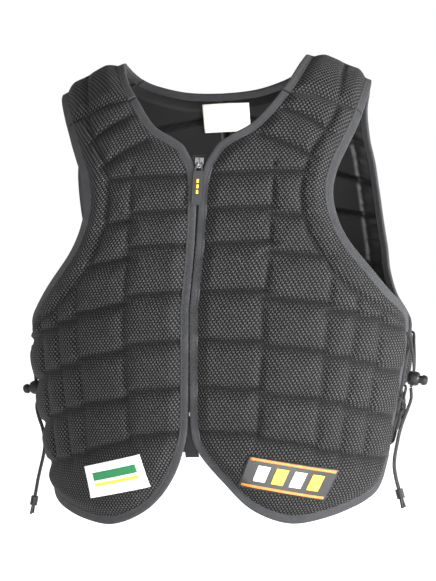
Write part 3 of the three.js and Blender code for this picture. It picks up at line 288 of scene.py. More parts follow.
def surface(across, run):
    """Points of the worn form, in millimetres. Run is below zero on the back."""
    across, run = np.broadcast_arrays(np.asarray(across, float), np.asarray(run, float))
    below = np.abs(run)
    over = below < CREST_RUN
    depth_share, height_share = crest.read(below / CREST_RUN)
    depth_share = np.where(over, depth_share, 1)
    level = np.where(
        over,
        RIDGE_HEIGHT - CREST_DROP * (1 - height_share),
        RIDGE_HEIGHT - CREST_DROP - (below - CREST_RUN),
    )
    down = (RIDGE_HEIGHT - level) / BODY_DROP
    half_width = CHEST_HALF_WIDTH * section_value(WIDTH, down)
    depth = np.where(
        run >= 0,
        -FRONT_DEPTH * section_value(FRONT, down),
        BACK_DEPTH * section_value(BACK, down),
    )
    side_share, front_share = girth.read(np.abs(across) / QUARTER)
    x = np.sign(across) * half_width * side_share
    y = depth * depth_share * front_share
    past = np.abs(x) - NECK_HALF_WIDTH
    rounding = NECK_HALF_WIDTH / 5
    fade = step_up(level, *SLOPE_LEVELS)
    drop = SHOULDER_SLOPE * fade * (np.hypot(past, rounding) + past) * 0.5
    twist_start, twist_span = TWIST_LEVELS
    to_top = np.clip((level - twist_start) / twist_span, 0, 1)
    turn = np.radians(lerp(TWIST_WAIST, TWIST_TOP, to_top))
    sway = SHOULDER_SWAY * step_up(level, *SWAY_LEVELS)
    to_zip = smooth(1 - np.abs(x) / (half_width * ZIP_SHIFT_REACH))
    zip_out = 1 - step_up(below, *ZIP_SHIFT_OUT)
    zip_shift = ZIP_SHIFT * to_zip * step_up(below, *ZIP_SHIFT_IN) * zip_out
    back_out = 1 - step_up(below, *BACK_SHIFT_OUT)
    back_shift = BACK_SHIFT * step_up(below, *BACK_SHIFT_IN) * back_out
    x = x + np.where(run < 0, back_shift, -zip_shift)
    return np.stack(
        [
            x * np.cos(turn) - y * np.sin(turn) - sway,
            x * np.sin(turn) + y * np.cos(turn),
            level - drop + HANG_RISE * x,
        ],
        axis=-1,
    )


def unit(v):
    return v / np.maximum(np.linalg.norm(v, axis=-1, keepdims=True), 1e-9)


def frame_at(across, run):
    """Point, outward normal, downward and sideways directions on the form."""
    across, run = np.asarray(across, float), np.asarray(run, float)
    step = 0.6
    along_run = surface(across, run + step) - surface(across, run - step)
    along_across = surface(across + step, run) - surface(across - step, run)
    normal = unit(np.cross(along_run, along_across))
    downward = unit(along_run * np.where(run < 0, -1.0, 1.0)[..., None])
    return surface(across, run), normal, downward, unit(along_across)


def lifted(across, run, lift):
    point, normal, _, _ = frame_at(across, run)
    return point + normal * np.asarray(lift, float)[..., None]


def side_place(sign, around, run):
    """A place on the side, measured round from the front middle."""
    around = np.asarray(around, float)
    run = np.asarray(run, float)
    front = around <= QUARTER
    return (
        np.where(front, sign * around, sign * (2 * QUARTER - around)),
        np.where(front, run, -run),
    )


def side_point(sign, around, run, lift):
    return lifted(*side_place(sign, around, run), lift)


def spline(points, count):
    """A centripetal Catmull-Rom curve through points, resampled to equal steps."""
    span_points = 24
    p = np.asarray(points, float)
    p = np.vstack([2 * p[0] - p[1], p, 2 * p[-1] - p[-2]])
    out = []
    for i in range(1, len(p) - 2):
        p0, p1, p2, p3 = p[i - 1], p[i], p[i + 1], p[i + 2]
        d = [max(np.linalg.norm(b - a) ** 0.5, 1e-6) for a, b in ((p0, p1), (p1, p2), (p2, p3))]
        t1 = d[0]
        t2 = t1 + d[1]
        t3 = t2 + d[2]
        t = np.linspace(t1, t2, span_points, endpoint=False)[:, None]
        a1 = (t1 - t) / t1 * p0 + t / t1 * p1
        a2 = (t2 - t) / (t2 - t1) * p1 + (t - t1) / (t2 - t1) * p2
        a3 = (t3 - t) / (t3 - t2) * p2 + (t - t2) / (t3 - t2) * p3
        b1 = (t2 - t) / t2 * a1 + t / t2 * a2
        b2 = (t3 - t) / (t3 - t1) * a2 + (t - t1) / (t3 - t1) * a3
        out.append((t2 - t) / (t2 - t1) * b1 + (t - t1) / (t2 - t1) * b2)
    line = np.vstack(out + [p[-2:-1]])
    return resample(line, count)


def line_length(line):
    return float(np.linalg.norm(np.diff(line, axis=0), axis=1).sum())


def run_along(line):
    """The length of a line up to each of its points."""
    steps = np.linalg.norm(np.diff(line, axis=0), axis=1)
    return np.concatenate([[0], np.cumsum(steps)])


def read_line(line, at, where):
    return np.stack([np.interp(where, at, line[:, k]) for k in range(line.shape[1])], axis=1)


def resample(line, count):
    """A polyline at equal steps, count of them."""
    line = np.asarray(line, float)
    at = run_along(line)
    return read_line(line, at, np.linspace(0, at[-1], count + 1))


def at_shares(line, shares):
    """Points of a line at shares of its length."""
    at = run_along(line)
    return read_line(line, at, np.asarray(shares) * at[-1])


def cloth_curve(rows, run_length, spacing=2.0):
    points = np.array([(a * QUARTER, r * run_length) for a, r in rows])
    draft = spline(points, 400)
    return resample(draft, max(8, round(line_length(draft) / spacing)))


def directions(line):
    """The way that a line runs at each of its points."""
    ahead = np.vstack([line[1:], line[-1:]])
    behind = np.vstack([line[:1], line[:-1]])
    return unit(ahead - behind)


def offset_line(line, distance):
    """A line moved sideways: positive goes to the left of its direction."""
    way = directions(line)
    return line + np.stack([-way[:, 1], way[:, 0]], axis=1) * distance


def flip(line):
    return line * np.array([-1.0, 1.0])


def sided(line, sign):
    """A line of the left side, or its mirror image for the right."""
    return line if sign > 0 else flip(line)


def cut_at_run(line, run):
    """The two parts of a line on either side of a run."""
    for i in range(1, len(line)):
        a, b = line[i - 1, 1] - run, line[i, 1] - run
        if a * b <= 0 and a != b:
            point = lerp(line[i - 1], line[i], a / (a - b))
            return np.vstack([line[:i], point]), np.vstack([point, line[i:]])
    return line, line[-1:]


zip_edge = [(ZIP_HALF_GAP / QUARTER, 0.395), (ZIP_HALF_GAP / QUARTER, 0.789)]
front_inner = cloth_curve(FRONT_INNER + zip_edge + FRONT_LOWER, FRONT_RUN)
front_outer = cloth_curve(FRONT_OUTER + FRONT_LOWER[-1:], FRONT_RUN)
back_inner = cloth_curve(BACK_INNER, -BACK_RUN)
back_outer = cloth_curve(BACK_OUTER + BACK_LOWER, -BACK_RUN)
neck_front_top, neck_front = cut_at_run(front_inner, YOKE_FRONT_RUN)
arm_front_top, arm_front = cut_at_run(front_outer, YOKE_FRONT_RUN)
neck_back_top, neck_back = cut_at_run(back_inner, -YOKE_BACK_RUN)
arm_back_top, arm_back = cut_at_run(back_outer, -YOKE_BACK_RUN)
front_perimeter = np.vstack([neck_front, arm_front[::-1][1:]])
back_neck_line = np.vstack([flip(neck_back), neck_back[::-1][1:]])
back_edge_line = np.vstack([flip(arm_back), arm_back[::-1][1:]])
yoke_inner = np.vstack([neck_back_top[::-1], neck_front_top[1:]])
yoke_outer = np.vstack([arm_back_top[::-1], arm_front_top[1:]])


def segment_distance(points, a, b):
    """Distance from each point to a segment, and the nearest place on it."""
    way = b - a
    span = max(float(way @ way), 1e-9)
    share = np.clip(((points - a) @ way) / span, 0, 1)
    nearest = a + share[:, None] * way
    return np.linalg.norm(points - nearest, axis=1), nearest


def thinned(line, stride):
    return np.vstack([line[::stride], line[-1:]])


def line_distance(points, *polylines):
    """Distance from each point to the nearest of some polylines."""
    best = np.full(len(points), np.inf)
    for line in polylines:
        kept = thinned(line, 3)
        for a, b in zip(kept[:-1], kept[1:]):
            best = np.minimum(best, segment_distance(points, a, b)[0])
    return best


def swell(full, distance):
    """Height of padding at a distance from its edge."""
    return lerp(EDGE_HALF, full, np.sqrt(smooth(distance / PAD_SLOPE)))


def past_binding(edge):
    """Distance past the binding, from just under its inner edge."""
    return np.maximum(edge - BINDING_WIDTH + BINDING_OVERLAP, 0)


def channel(distance, width, power=2):
    """1 on a line, falling to 0 beside it."""
    return np.exp(-((distance / width) ** power))


def wander(points, size, seed=0.0):
    """Smooth noise over cloth places, from -1 to 1."""
    values = [noise.noise(Vector((x / size + seed, y / size - seed, seed))) for x, y in points]
    return np.array(values)


def to_seam(points, seam):
    """Distance from each point to a stitched line, and the nearest place on it."""
    return segment_distance(points, np.array(seam[:2]), np.array(seam[2:]))


def seam_depth(points, uprights, rows):
    """How deep the stitched channels are at each point, from 0 to 1."""
    depth = np.zeros(len(points))
    for seam in uprights:
        distance, _ = to_seam(points, seam)
        depth = np.maximum(depth, UPRIGHT_DEPTH * channel(distance, SEAM_WIDTH))
    for seam in rows:
        distance, nearest = to_seam(points, seam)
        below = (np.abs(points[:, 1]) - np.abs(nearest[:, 1])) > 0
        depth = np.maximum(depth, channel(distance, np.where(below, SEAM_WIDTH_BELOW, SEAM_WIDTH)))
    return depth


def seam_nearness(points, lines):
    """Distance from each point to the nearest of the stitched lines."""
    best = np.full(len(points), np.inf)
    for seam in lines:
        best = np.minimum(best, to_seam(points, seam)[0])
    return best


def scaled(rows, run_length):
    return [(a * QUARTER, r * run_length, c * QUARTER, s * run_length) for a, r, c, s in rows]


# Meshes

def add_object(name, data):
    obj = bpy.data.objects.new(name, data)
    bpy.context.scene.collection.objects.link(obj)
    return obj


def new_mesh(name, points, faces, materials, cloth=None, smooth_shade=True):
    """A closed object from points in millimetres, its faces turned outward.

    The cloth place of each point is an attribute.
    """
    mesh = bpy.data.meshes.new(name)
    mesh.from_pydata((points * MM).tolist(), [], faces)
    if cloth is not None:
        layer = mesh.attributes.new("cloth", "FLOAT_VECTOR", "POINT")
        flat = np.zeros((len(points), 3), np.float32)
        flat[:, :2] = cloth * MM
        layer.data.foreach_set("vector", flat.ravel())
    mesh.polygons.foreach_set("use_smooth", [smooth_shade] * len(mesh.polygons))
    mesh.update()
    solid = bmesh.new()
    solid.from_mesh(mesh)
    if solid.calc_volume(signed=True) < 0:
        mesh.flip_normals()
    solid.free()
    for material in materials:
        mesh.materials.append(material)
    return add_object(name, mesh)


def grid_faces(rows, columns):
    i, k = np.meshgrid(np.arange(rows - 1), np.arange(columns - 1), indexing="ij")
    a = (i * columns + k).ravel()
    return np.stack([a, a + 1, a + columns + 1, a + columns], axis=1)


def rim_faces(rows, columns, first_row):
    """Quads that join the borders of two stacked grids."""
    layer = rows * columns
    ring = (
        first_row
        + [i * columns + columns - 1 for i in range(1, rows)]
        + [(rows - 1) * columns + k for k in range(columns - 2, -1, -1)]
        + [i * columns for i in range(rows - 2, 0, -1)]
    )
    return [(b, a, a + layer, b + layer) for a, b in zip(ring, ring[1:] + ring[:1])]


def tube_faces(rings, sides):
    """Faces round a run of rings, with a flat face at each end."""
    faces = []
    for i in range(rings - 1):
        for k in range(sides):
            a, b = i * sides + k, i * sides + (k + 1) % sides
            faces.append((a, b, b + sides, a + sides))
    faces.append(tuple(range(sides))[::-1])
    faces.append(tuple(range((rings - 1) * sides, rings * sides)))
    return faces


def layers(grid, lift_out, lift_in, first_row):
    """Cloth places, points and faces of two joined layers over a grid of cloth places."""
    rows, columns = grid.shape[:2]
    flat = grid.reshape(-1, 2)
    points = np.vstack([lifted(*flat.T, lift_out), lifted(*flat.T, lift_in)])
    top = grid_faces(rows, columns)
    bottom = top[:, ::-1] + rows * columns
    faces = np.vstack([top, bottom, rim_faces(rows, columns, first_row)])
    return np.vstack([flat, flat]), points, faces


def shell(name, node, grid, lift_out, lift_in, seam_shade, tone=0.0, neck_rows=0):
    """A closed padded shell over a grid of cloth places, rows by columns by two.

    Its first neck_rows rows are parted in the middle. The tones paint shade on its two faces, and on
    the lining also the satin strip's darker colour.
    """
    rows, columns = grid.shape[:2]
    middle = columns // 2
    layer = rows * columns
    layer_faces = (rows - 1) * (columns - 1)
    first_row = list(range(columns))
    if neck_rows:
        down_side = [i * columns + middle - 1 for i in range(1, neck_rows + 1)]
        up_side = [i * columns + middle for i in range(neck_rows - 1, 0, -1)]
        first_row = first_row[:middle] + down_side + up_side + first_row[middle:]
    cloth, points, faces = layers(grid, lift_out, -lift_in, first_row)
    inside = np.zeros(len(faces), int)
    inside[layer_faces:2 * layer_faces] = 1
    if neck_rows:
        # the two middle columns are one below the neck, and nothing spans them above it
        join = np.arange(len(points))
        below = np.arange(neck_rows, rows) * columns + middle
        for start in (0, layer):
            join[below + start] = below + start - 1
        faces = join[faces]
        column = faces % layer % columns
        across_neck = (column.min(axis=1) == middle - 1) & (column.max(axis=1) == middle)
        across_neck[2 * layer_faces:] = False
        welded = np.array([len(set(face)) < 4 for face in faces.tolist()])
        keep = ~(across_neck | welded)
        faces, inside = faces[keep], inside[keep]
    used, places = np.unique(faces, return_inverse=True)
    faces = places.reshape(faces.shape)
    obj = new_mesh(name, points[used], faces.tolist(), [mesh_cloth, lining_cloth], cloth[used])
    # painted shade: the outer face darkens in the stitched channels; inside, tone is painted shade in
    # the lining's gaps and beside the binding, and the satin strip's own darker colour
    shade_and_satin_tones = np.concatenate([np.broadcast_to(seam_shade, layer) ** 3, np.broadcast_to(tone, layer)])
    shade = obj.data.attributes.new("tone", "FLOAT", "POINT")
    shade.data.foreach_set("value", shade_and_satin_tones[used].astype(np.float32))
    obj.data.polygons.foreach_set("material_index", inside)
    obj.data.update()
    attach(obj, "vest")
    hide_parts(node)


def tube(name, points, radius, material):
    """A round tube along points in millimetres, with flat ends."""
    sides = 10
    tangent = directions(points)
    normal = np.array([1.0, 0, 0]) if abs(tangent[0][0]) < 0.8 else np.array([0, 1.0, 0])
    rings, cloth = [], []
    angle = np.arange(sides) / sides * 2 * np.pi
    for p, t, s in zip(points, tangent, run_along(points)):
        normal = unit(normal - t * (normal @ t))
        across = np.cross(t, normal)
        rings.append(p + radius * (np.cos(angle)[:, None] * normal + np.sin(angle)[:, None] * across))
        cloth.append(np.stack([angle * radius, np.full(sides, s)], axis=1))
    faces = tube_faces(len(rings), sides)
    return new_mesh(name, np.vstack(rings), faces, [material], np.vstack(cloth))


def box_mesh(name, centres, axes, half, material):
    """Many small boxes of one size as one mesh: a centre and three axes each."""
    corners = np.array([(x, y, z) for z in (-1, 1) for y in (-1, 1) for x in (-1, 1)], float)
    points = [c + (corners * half) @ np.array(a) for c, a in zip(centres, axes)]
    quads = [(0, 2, 3, 1), (4, 5, 7, 6), (0, 1, 5, 4), (2, 6, 7, 3), (0, 4, 6, 2), (1, 3, 7, 5)]
    faces = [tuple(8 * i + q for q in quad) for i in range(len(points)) for quad in quads]
    return new_mesh(name, np.vstack(points), faces, [material], smooth_shade=False)


# Materials

def principled(name, color, roughness, **inputs):
    """A material, its nodes and its shader."""
    material = bpy.data.materials.new(name)
    material.use_nodes = True
    shader = material.node_tree.nodes["Principled BSDF"]
    shader.inputs["Base Color"].default_value = (*color, 1)
    shader.inputs["Roughness"].default_value = roughness
    for key, value in inputs.items():
        shader.inputs[key.replace("_", " ")].default_value = value
    return material, Nodes(material.node_tree), shader


def plain(name, color, roughness, **inputs):
    return principled(name, color, roughness, **inputs)[0]


class Nodes:
    """Short calls that add shader nodes and link them."""

    def __init__(self, tree):
        self.tree = tree

    def link(self, source, socket):
        self.tree.links.new(source, socket)

    def feed(self, value, socket):
        """Link an output to a socket, or set the socket's own value."""
        if hasattr(value, "is_output"):
            self.link(value, socket)
        else:
            socket.default_value = value

    def math(self, operation, *values):
        node = self.tree.nodes.new("ShaderNodeMath")
        node.operation = operation
        for value, socket in zip(values, node.inputs):
            self.feed(value, socket)
        return node.outputs[0]

    def attribute(self, name, output):
        node = self.tree.nodes.new("ShaderNodeAttribute")
        node.attribute_name = name
        return node.outputs[output]

    def split(self, vector):
        node = self.tree.nodes.new("ShaderNodeSeparateXYZ")
        self.link(vector, node.inputs[0])
        return node.outputs

    def cloth(self):
        """The place on the cloth: across and along it, in metres."""
        u, v, _ = self.split(self.attribute("cloth", "Vector"))
        return u, v

    def noise(self, vector, scale, detail=2.0):
        node = self.tree.nodes.new("ShaderNodeTexNoise")
        node.inputs["Scale"].default_value = scale
        node.inputs["Detail"].default_value = detail
        self.link(vector, node.inputs["Vector"])
        return node.outputs["Fac"]

    def place(self, kind="Object"):
        return self.tree.nodes.new("ShaderNodeTexCoord").outputs[kind]

    def band(self, value, low, high):
        """A smooth step from 0 at low to 1 at high."""
        node = self.tree.nodes.new("ShaderNodeMapRange")
        node.interpolation_type = "SMOOTHSTEP"
        self.link(value, node.inputs["Value"])
        node.inputs["From Min"].default_value = low
        node.inputs["From Max"].default_value = high
        return node.outputs[0]

    def mix(self, factor, a, b):
        """A colour between two, each of them an output or three numbers."""
        node = self.tree.nodes.new("ShaderNodeMix")
        node.data_type = "RGBA"
        self.link(factor, node.inputs["Factor"])
        for value, socket in ((a, node.inputs["A"]), (b, node.inputs["B"])):
            self.feed((*value, 1) if isinstance(value, tuple) else value, socket)
        colours = [o for o in node.outputs if o.type == "RGBA"]
        return colours[0]

    def bump(self, height, distance, strength=1.0):
        node = self.tree.nodes.new("ShaderNodeBump")
        node.inputs["Strength"].default_value = strength
        node.inputs["Distance"].default_value = distance
        self.link(height, node.inputs["Height"])
        return node.outputs[0]


def spacer_mesh():
    """Knitted mesh: staggered rows of tall holes between crossing threads."""
    material, n, shader = principled(
        "spacer_mesh", (0.03, 0.03, 0.032), 0.75,
        Specular_IOR_Level=0.12, Sheen_Weight=0.03, Sheen_Roughness=0.5,
    )
    pitch_across, pitch_run = 0.0040, 0.0052
    hole_across, hole_run = 0.0011, 0.0021
    slant = 0.16
    whole_cells = 100.0
    u, v = n.cloth()
    u = n.math("ADD", u, n.math("MULTIPLY", v, slant))
    distances = []
    for shift in (0.0, 0.5):
        parts = []
        for value, pitch, radius in ((u, pitch_across, hole_across), (v, pitch_run, hole_run)):
            cell = n.math("FRACT", n.math("ADD", n.math("DIVIDE", value, pitch), whole_cells + shift))
            away = n.math("MULTIPLY", n.math("SUBTRACT", cell, 0.5), pitch / radius)
            parts.append(n.math("MULTIPLY", away, away))
        distances.append(n.math("ADD", *parts))
    thread = n.band(n.math("MINIMUM", *distances), 0.7, 1.7)
    patchy = n.noise(n.place(), 60.0)
    light = n.mix(patchy, (0.062, 0.062, 0.064), (0.115, 0.114, 0.117))
    # painted shade: the mesh colour darkens towards near black in the stitched channels, following the
    # tone attribute
    painted_seam_shade = n.math("MULTIPLY", n.attribute("tone", "Fac"), 0.85)
    light = n.mix(painted_seam_shade, light, (0.007, 0.007, 0.008))
    n.link(n.mix(thread, (0.003, 0.003, 0.003), light), shader.inputs["Base Color"])
    n.link(n.bump(thread, 0.0007, 0.8), shader.inputs["Normal"])
    return material


def twill(name, color, pitch=0.0011):
    """Woven tape: slanted ribs, pitch metres apart."""
    material, n, shader = principled(name, color, 0.8, Specular_IOR_Level=0.15, Sheen_Weight=0.05)
    ribs = n.math("SINE", n.math("MULTIPLY", n.math("ADD", *n.cloth()), 2 * math.pi / pitch))
    patchy = n.noise(n.place(), 90.0, 4.0)
    dark = tuple(c * 0.72 for c in color)
    bright = tuple(c * 1.25 for c in color)
    n.link(n.mix(patchy, dark, bright), shader.inputs["Base Color"])
    n.link(n.bump(ribs, 0.00012, 0.6), shader.inputs["Normal"])
    return material


def braid():
    """Braided cord: two sets of strands that cross."""
    material, n, shader = principled("cord_braid", (0.012, 0.012, 0.013), 0.6)
    phase_per_metre, steepness = 2800.0, 2.0
    u, v = n.cloth()
    round_cord = n.math("MULTIPLY", u, steepness)
    one = n.math("SINE", n.math("MULTIPLY", n.math("ADD", round_cord, v), phase_per_metre))
    two = n.math("SINE", n.math("MULTIPLY", n.math("SUBTRACT", v, round_cord), phase_per_metre))
    n.link(n.bump(n.math("MULTIPLY", one, two), 0.0003, 0.8), shader.inputs["Normal"])
    return material


def lining():
    material, n, shader = principled("lining", (0.02, 0.02, 0.022), 0.55, Specular_IOR_Level=0.2)
    # painted shade: tone darkens the lining in the gaps between its blocks and beside the binding; on
    # the satin strip it gives that fabric its own darker colour
    color = n.mix(n.attribute("tone", "Fac"), (0.009, 0.009, 0.009), (0.0015, 0.0015, 0.0015))
    n.link(color, shader.inputs["Base Color"])
    grain = n.noise(n.place(), 900.0, 3.0)
    n.link(n.bump(grain, 0.0002, 0.5), shader.inputs["Normal"])
    return material


mesh_cloth = spacer_mesh()
binding_cloth = twill("binding_twill", (0.036, 0.0365, 0.039))
tape_cloth = twill("zip_tape_weave", (0.02, 0.02, 0.021), 0.0016)
cord_cloth = braid()
lining_cloth = lining()
label_cloth = twill("label_weave", (0.78, 0.77, 0.72), 0.0009)
badge_white = plain("badge_white", (0.82, 0.82, 0.8), 0.5)
badge_black = plain("badge_black", (0.006, 0.006, 0.006), 0.45)
badge_green = plain("badge_green", (0.006, 0.16, 0.05), 0.5)
badge_yellow = plain("badge_yellow", (0.85, 0.62, 0.03), 0.5)
badge_orange = plain("badge_orange", (0.8, 0.17, 0.01), 0.5)
black_plastic = plain("black_plastic", (0.008, 0.008, 0.008), 0.42, Specular_IOR_Level=0.3)
tip_plastic = plain("pull_rubber", (0.022, 0.022, 0.024), 0.5)
metal = plain("nickel", (0.42, 0.42, 0.43), 0.22, Metallic=1.0)


def panel_grid(inner, outer, hem, rows, columns):
    """Cloth places between two edges, the last rows bent to the hem."""
    edge_crowding = 0.06
    bend_from = 0.55
    row_at = np.linspace(0, 1, rows + 1)
    t = np.linspace(0, 1, columns + 1)
    u = t - edge_crowding * np.sin(2 * np.pi * t)
    a = at_shares(inner, row_at)
    b = at_shares(outer, row_at)
    grid = a[:, None, :] + (b - a)[:, None, :] * u[None, :, None]
    pulls = at_shares(hem, u) - grid[-1]
    weight = np.clip((row_at - bend_from) / (1 - bend_from), 0, 1) ** 2
    return grid + weight[:, None, None] * pulls[None]


def nearest_index(line, place):
    return int(np.argmin(np.linalg.norm(line - np.asarray(place), axis=1)))


def corner(row, run_length):
    return (row[0] * QUARTER, row[1] * run_length)


TUCK = BINDING_WIDTH - 2.5
FRONT_GRID = (215, 104)
BACK_GRID = (190, 92)
YOKE_ROWS, YOKE_COLUMNS = 84, 40
hem_start = nearest_index(front_perimeter, corner(FRONT_LOWER[2], FRONT_RUN))
hem_end = nearest_index(front_perimeter, corner(FRONT_LOWER[-1], FRONT_RUN))
front_inset = offset_line(front_perimeter, -TUCK)
front_edges = (
    front_inset[:hem_start + 1],
    front_inset[hem_end:][::-1],
    front_inset[hem_start:hem_end + 1],
)
back_inset = offset_line(arm_back, -TUCK)
back_corner = nearest_index(arm_back, corner(BACK_OUTER[-1], -BACK_RUN))
back_neck_inset = offset_line(neck_back, TUCK)
back_neck_inset[-1, 0] = 0
back_hem_middle = np.array([[0, back_inset[-1, 1]]])
back_edges = (
    np.vstack([back_neck_inset, back_hem_middle]),
    back_inset[:back_corner + 1],
    np.vstack([back_inset[back_corner:-1], back_hem_middle])[::-1],
)
front_seam_line = np.array([front_edges[0][0], front_edges[1][0]])
back_seam_line = np.array([back_edges[0][0], back_edges[1][0]])

FRONT_LINES_UP = scaled(FRONT_UPRIGHTS, FRONT_RUN)
FRONT_LINES_ROW = scaled(FRONT_ROWS, FRONT_RUN)
armhole_points = thinned(cloth_curve(ARMHOLE_SEAM, FRONT_RUN, 4), 6)
ARMHOLE_LINES = [(*a, *b) for a, b in zip(armhole_points[:-1], armhole_points[1:])]


def pad_heights(points, edge_distance, seam_distance, depth, crown, seed):
    """Height of quilted padding: swollen blocks between sunk stitched lines, with soft lumps."""
    away = np.minimum(past_binding(edge_distance), seam_distance)
    height = swell(PAD_OUT, away)
    lumps = wander(points, 26.0, seed) * 0.55 + wander(points, 9.0, seed + 3) * 0.22
    raised = (crown + lumps) * (1 - depth) * smooth(away / PAD_SLOPE)
    return height * (1 - QUILTING_DEPTH * depth) + raised


def warp(points, seed):
    """Stitched lines aren't quite straight."""
    shift = np.stack([wander(points, 40.0, seed), wander(points, 33.0, seed + 7)], axis=1)
    return points + shift * 1.3


def make_front(sign):
    side = side_name(sign)
    grid = panel_grid(*front_edges, *FRONT_GRID)
    flat = grid.reshape(-1, 2)
    warped = warp(flat, 2.0 + sign)
    depth = seam_depth(warped, FRONT_LINES_UP, FRONT_LINES_ROW)
    to_armhole = seam_nearness(warped, ARMHOLE_LINES)
    depth = np.maximum(depth, ARMHOLE_SEAM_DEPTH * channel(to_armhole, ARMHOLE_SEAM_WIDTH))
    edge = line_distance(flat, front_perimeter)
    seam = line_distance(flat, front_seam_line)
    near = seam_nearness(warped, FRONT_LINES_UP + FRONT_LINES_ROW + ARMHOLE_LINES)
    out = pad_heights(flat, edge, seam, depth, CROWN * smooth(near / CROWN_REACH), 5.0 + sign)
    inner = swell(PAD_IN, np.minimum(past_binding(edge), seam))
    grid = sided(grid, sign)
    shell(f"quilted_front_{side}", f"front_panel_{side}", grid, out, inner, depth)


def make_back():
    half = panel_grid(*back_edges, *BACK_GRID)
    grid = np.concatenate([flip(half[:, ::-1]), half], axis=1)
    neck_rows = int(np.sum(half[:, 0, 0] > 0.01))
    flat = grid.reshape(-1, 2)
    warped = warp(flat, 9.0)
    uprights = scaled(BACK_UPRIGHTS, -BACK_RUN)
    rows = scaled(BACK_ROWS, -BACK_RUN)
    depth = seam_depth(warped, uprights, rows)
    edge = line_distance(flat, back_edge_line, back_neck_line)
    seam = line_distance(flat, back_seam_line, flip(back_seam_line))
    near = seam_nearness(warped, uprights + rows)
    out = pad_heights(flat, edge, seam, depth, CROWN * smooth(near / CROWN_REACH), 12.0)

    # the inner face: smooth blocks parted by narrow gaps that rise to the middle
    inner_lines = [uprights[0]]
    for _, row, reach, _ in rows[:4]:
        for way in (-1, 1):
            bend = way * reach * INNER_BEND
            inner_lines.append((0, row + INNER_RISE, bend, row))
            inner_lines.append((bend, row, way * reach, row))
    for way in (-1, 1):
        upright = way * 0.42 * QUARTER
        inner_lines.append((upright, -0.1 * BACK_RUN, upright, -0.6 * BACK_RUN))
    gap = seam_nearness(flat, inner_lines)
    inner = swell(PAD_IN, np.minimum(past_binding(edge), seam))
    inner = inner * (1 - GAP_DEPTH * channel(gap, GAP_WIDTH, 4))

    # the satin strip: low, wrinkled and dark
    arm_edge = line_distance(flat, arm_back, flip(arm_back))
    strip = (1 - step_up(arm_edge, *STRIP_FADE)) * (1 - step_up(np.abs(flat[:, 1]), *STRIP_END))
    folds = wander(np.stack([flat[:, 0] * 0.35, flat[:, 1]], axis=1), 7.0, 20.0)
    inner = lerp(inner, inner * 0.45 + folds * 1.4 + 0.6, strip)
    # painted shade in the lining's gaps and beside the binding; on the satin strip it gives way to that
    # fabric's own darker colour
    tone = np.maximum(1 - step_up(gap, *GAP_SHADE_FADE), 1 - step_up(edge - BINDING_WIDTH, *EDGE_SHADE_FADE))
    tone = np.maximum(tone * (1 - strip), strip * STRIP_TONE)
    shell("quilted_back", "back_panel", grid, out, inner, depth, tone, neck_rows)


def make_yoke(sign):
    side = side_name(sign)
    inner = resample(offset_line(yoke_inner, -TUCK), YOKE_ROWS)
    outer = resample(offset_line(yoke_outer, TUCK), YOKE_ROWS)
    inner[0], outer[0] = back_edges[0][0], back_edges[1][0]
    inner[-1], outer[-1] = front_edges[0][0], front_edges[1][0]
    u = np.linspace(0, 1, YOKE_COLUMNS + 1)
    grid = inner[:, None, :] + (outer - inner)[:, None, :] * u[None, :, None]
    flat = grid.reshape(-1, 2)
    edge = line_distance(flat, yoke_inner, yoke_outer)
    seam = line_distance(flat, front_seam_line, back_seam_line)
    near = seam_nearness(flat, scaled([YOKE_SEAM], FRONT_RUN))
    depth = YOKE_SEAM_DEPTH * channel(near, SEAM_WIDTH)
    out = pad_heights(flat, edge, seam, depth, smooth(near / YOKE_CROWN_REACH), 15.0 + sign)
    lining_lift = swell(PAD_IN, np.minimum(past_binding(edge), seam))
    grid = sided(grid, sign)
    shell(f"quilted_yoke_{side}", f"shoulder_yoke_{side}", grid, out, lining_lift, depth)


# Bindings: a folded tape with a rounded nose, a stitched line near its inner edge, and small puckers
TAPE_PROFILE = [
    (0.0, 0.0), (0.15, 0.62), (0.6, 0.92), (1.5, 1.06), (3.6, 1.03), (5.9, 1.0),
    (6.9, 0.84), (7.6, 1.0), (8.9, 0.98), (9.3, 0.6),
]


TAPE_STEP = 2.2
TAPE_UNDERSIDE = 20
PUCKER_LENGTH = 6.5
PUCKER_HEIGHT = 0.28
PUCKER_DEPTH = 0.25


def make_binding(kind, line, inward, suffix=""):
    """A binding along an edge. The sign of inward says on which side of the line the piece is."""
    line = line[1:-1]
    steps = max(12, round(line_length(line) / TAPE_STEP))
    path = resample(line, steps)
    inward_way = offset_line(path, inward) - path
    along = np.linspace(0, line_length(line), steps + 1)
    pucker = np.array([noise.noise(Vector((s / PUCKER_LENGTH, 3.1, inward))) for s in along])
    profile = TAPE_PROFILE + [(d, -h) for d, h in TAPE_PROFILE[::-1][:-1]]
    columns, cloth = [], []
    for depth, share in profile:
        wave = pucker * PUCKER_HEIGHT * (1 if share > 0 else -1) * (depth > 3)
        edge_wave = pucker * PUCKER_DEPTH * (depth > 8)
        place = offset_line(path, depth * inward) + inward_way * edge_wave[:, None]
        lift = BINDING_HALF * share * 1.02 + wave
        columns.append(lifted(*place.T, lift))
        cloth_depth = depth + (TAPE_UNDERSIDE if share < 0 else 0)
        cloth.append(np.stack([along, np.full(len(along), cloth_depth)], axis=1))
    points = np.stack(columns, axis=1).reshape(-1, 3)
    flat = np.stack(cloth, axis=1).reshape(-1, 2)
    faces = tube_faces(len(path), len(profile))
    obj = new_mesh(f"{kind}_tape{suffix}", points, faces, [binding_cloth], flat)
    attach(obj, "vest")
    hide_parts(f"{kind}_binding{suffix}")


for sign in (1, -1):
    side = side_name(sign)
    make_front(sign)
    make_yoke(sign)
    make_binding("front", sided(front_perimeter, sign), -sign, f"_{side}")
    make_binding("yoke_neck", sided(yoke_inner, sign), -sign, f"_{side}")
    make_binding("yoke_arm", sided(yoke_outer, sign), sign, f"_{side}")
make_back()
make_binding("back_neck", back_neck_line, -1)
make_binding("back_edge", back_edge_line, 1)

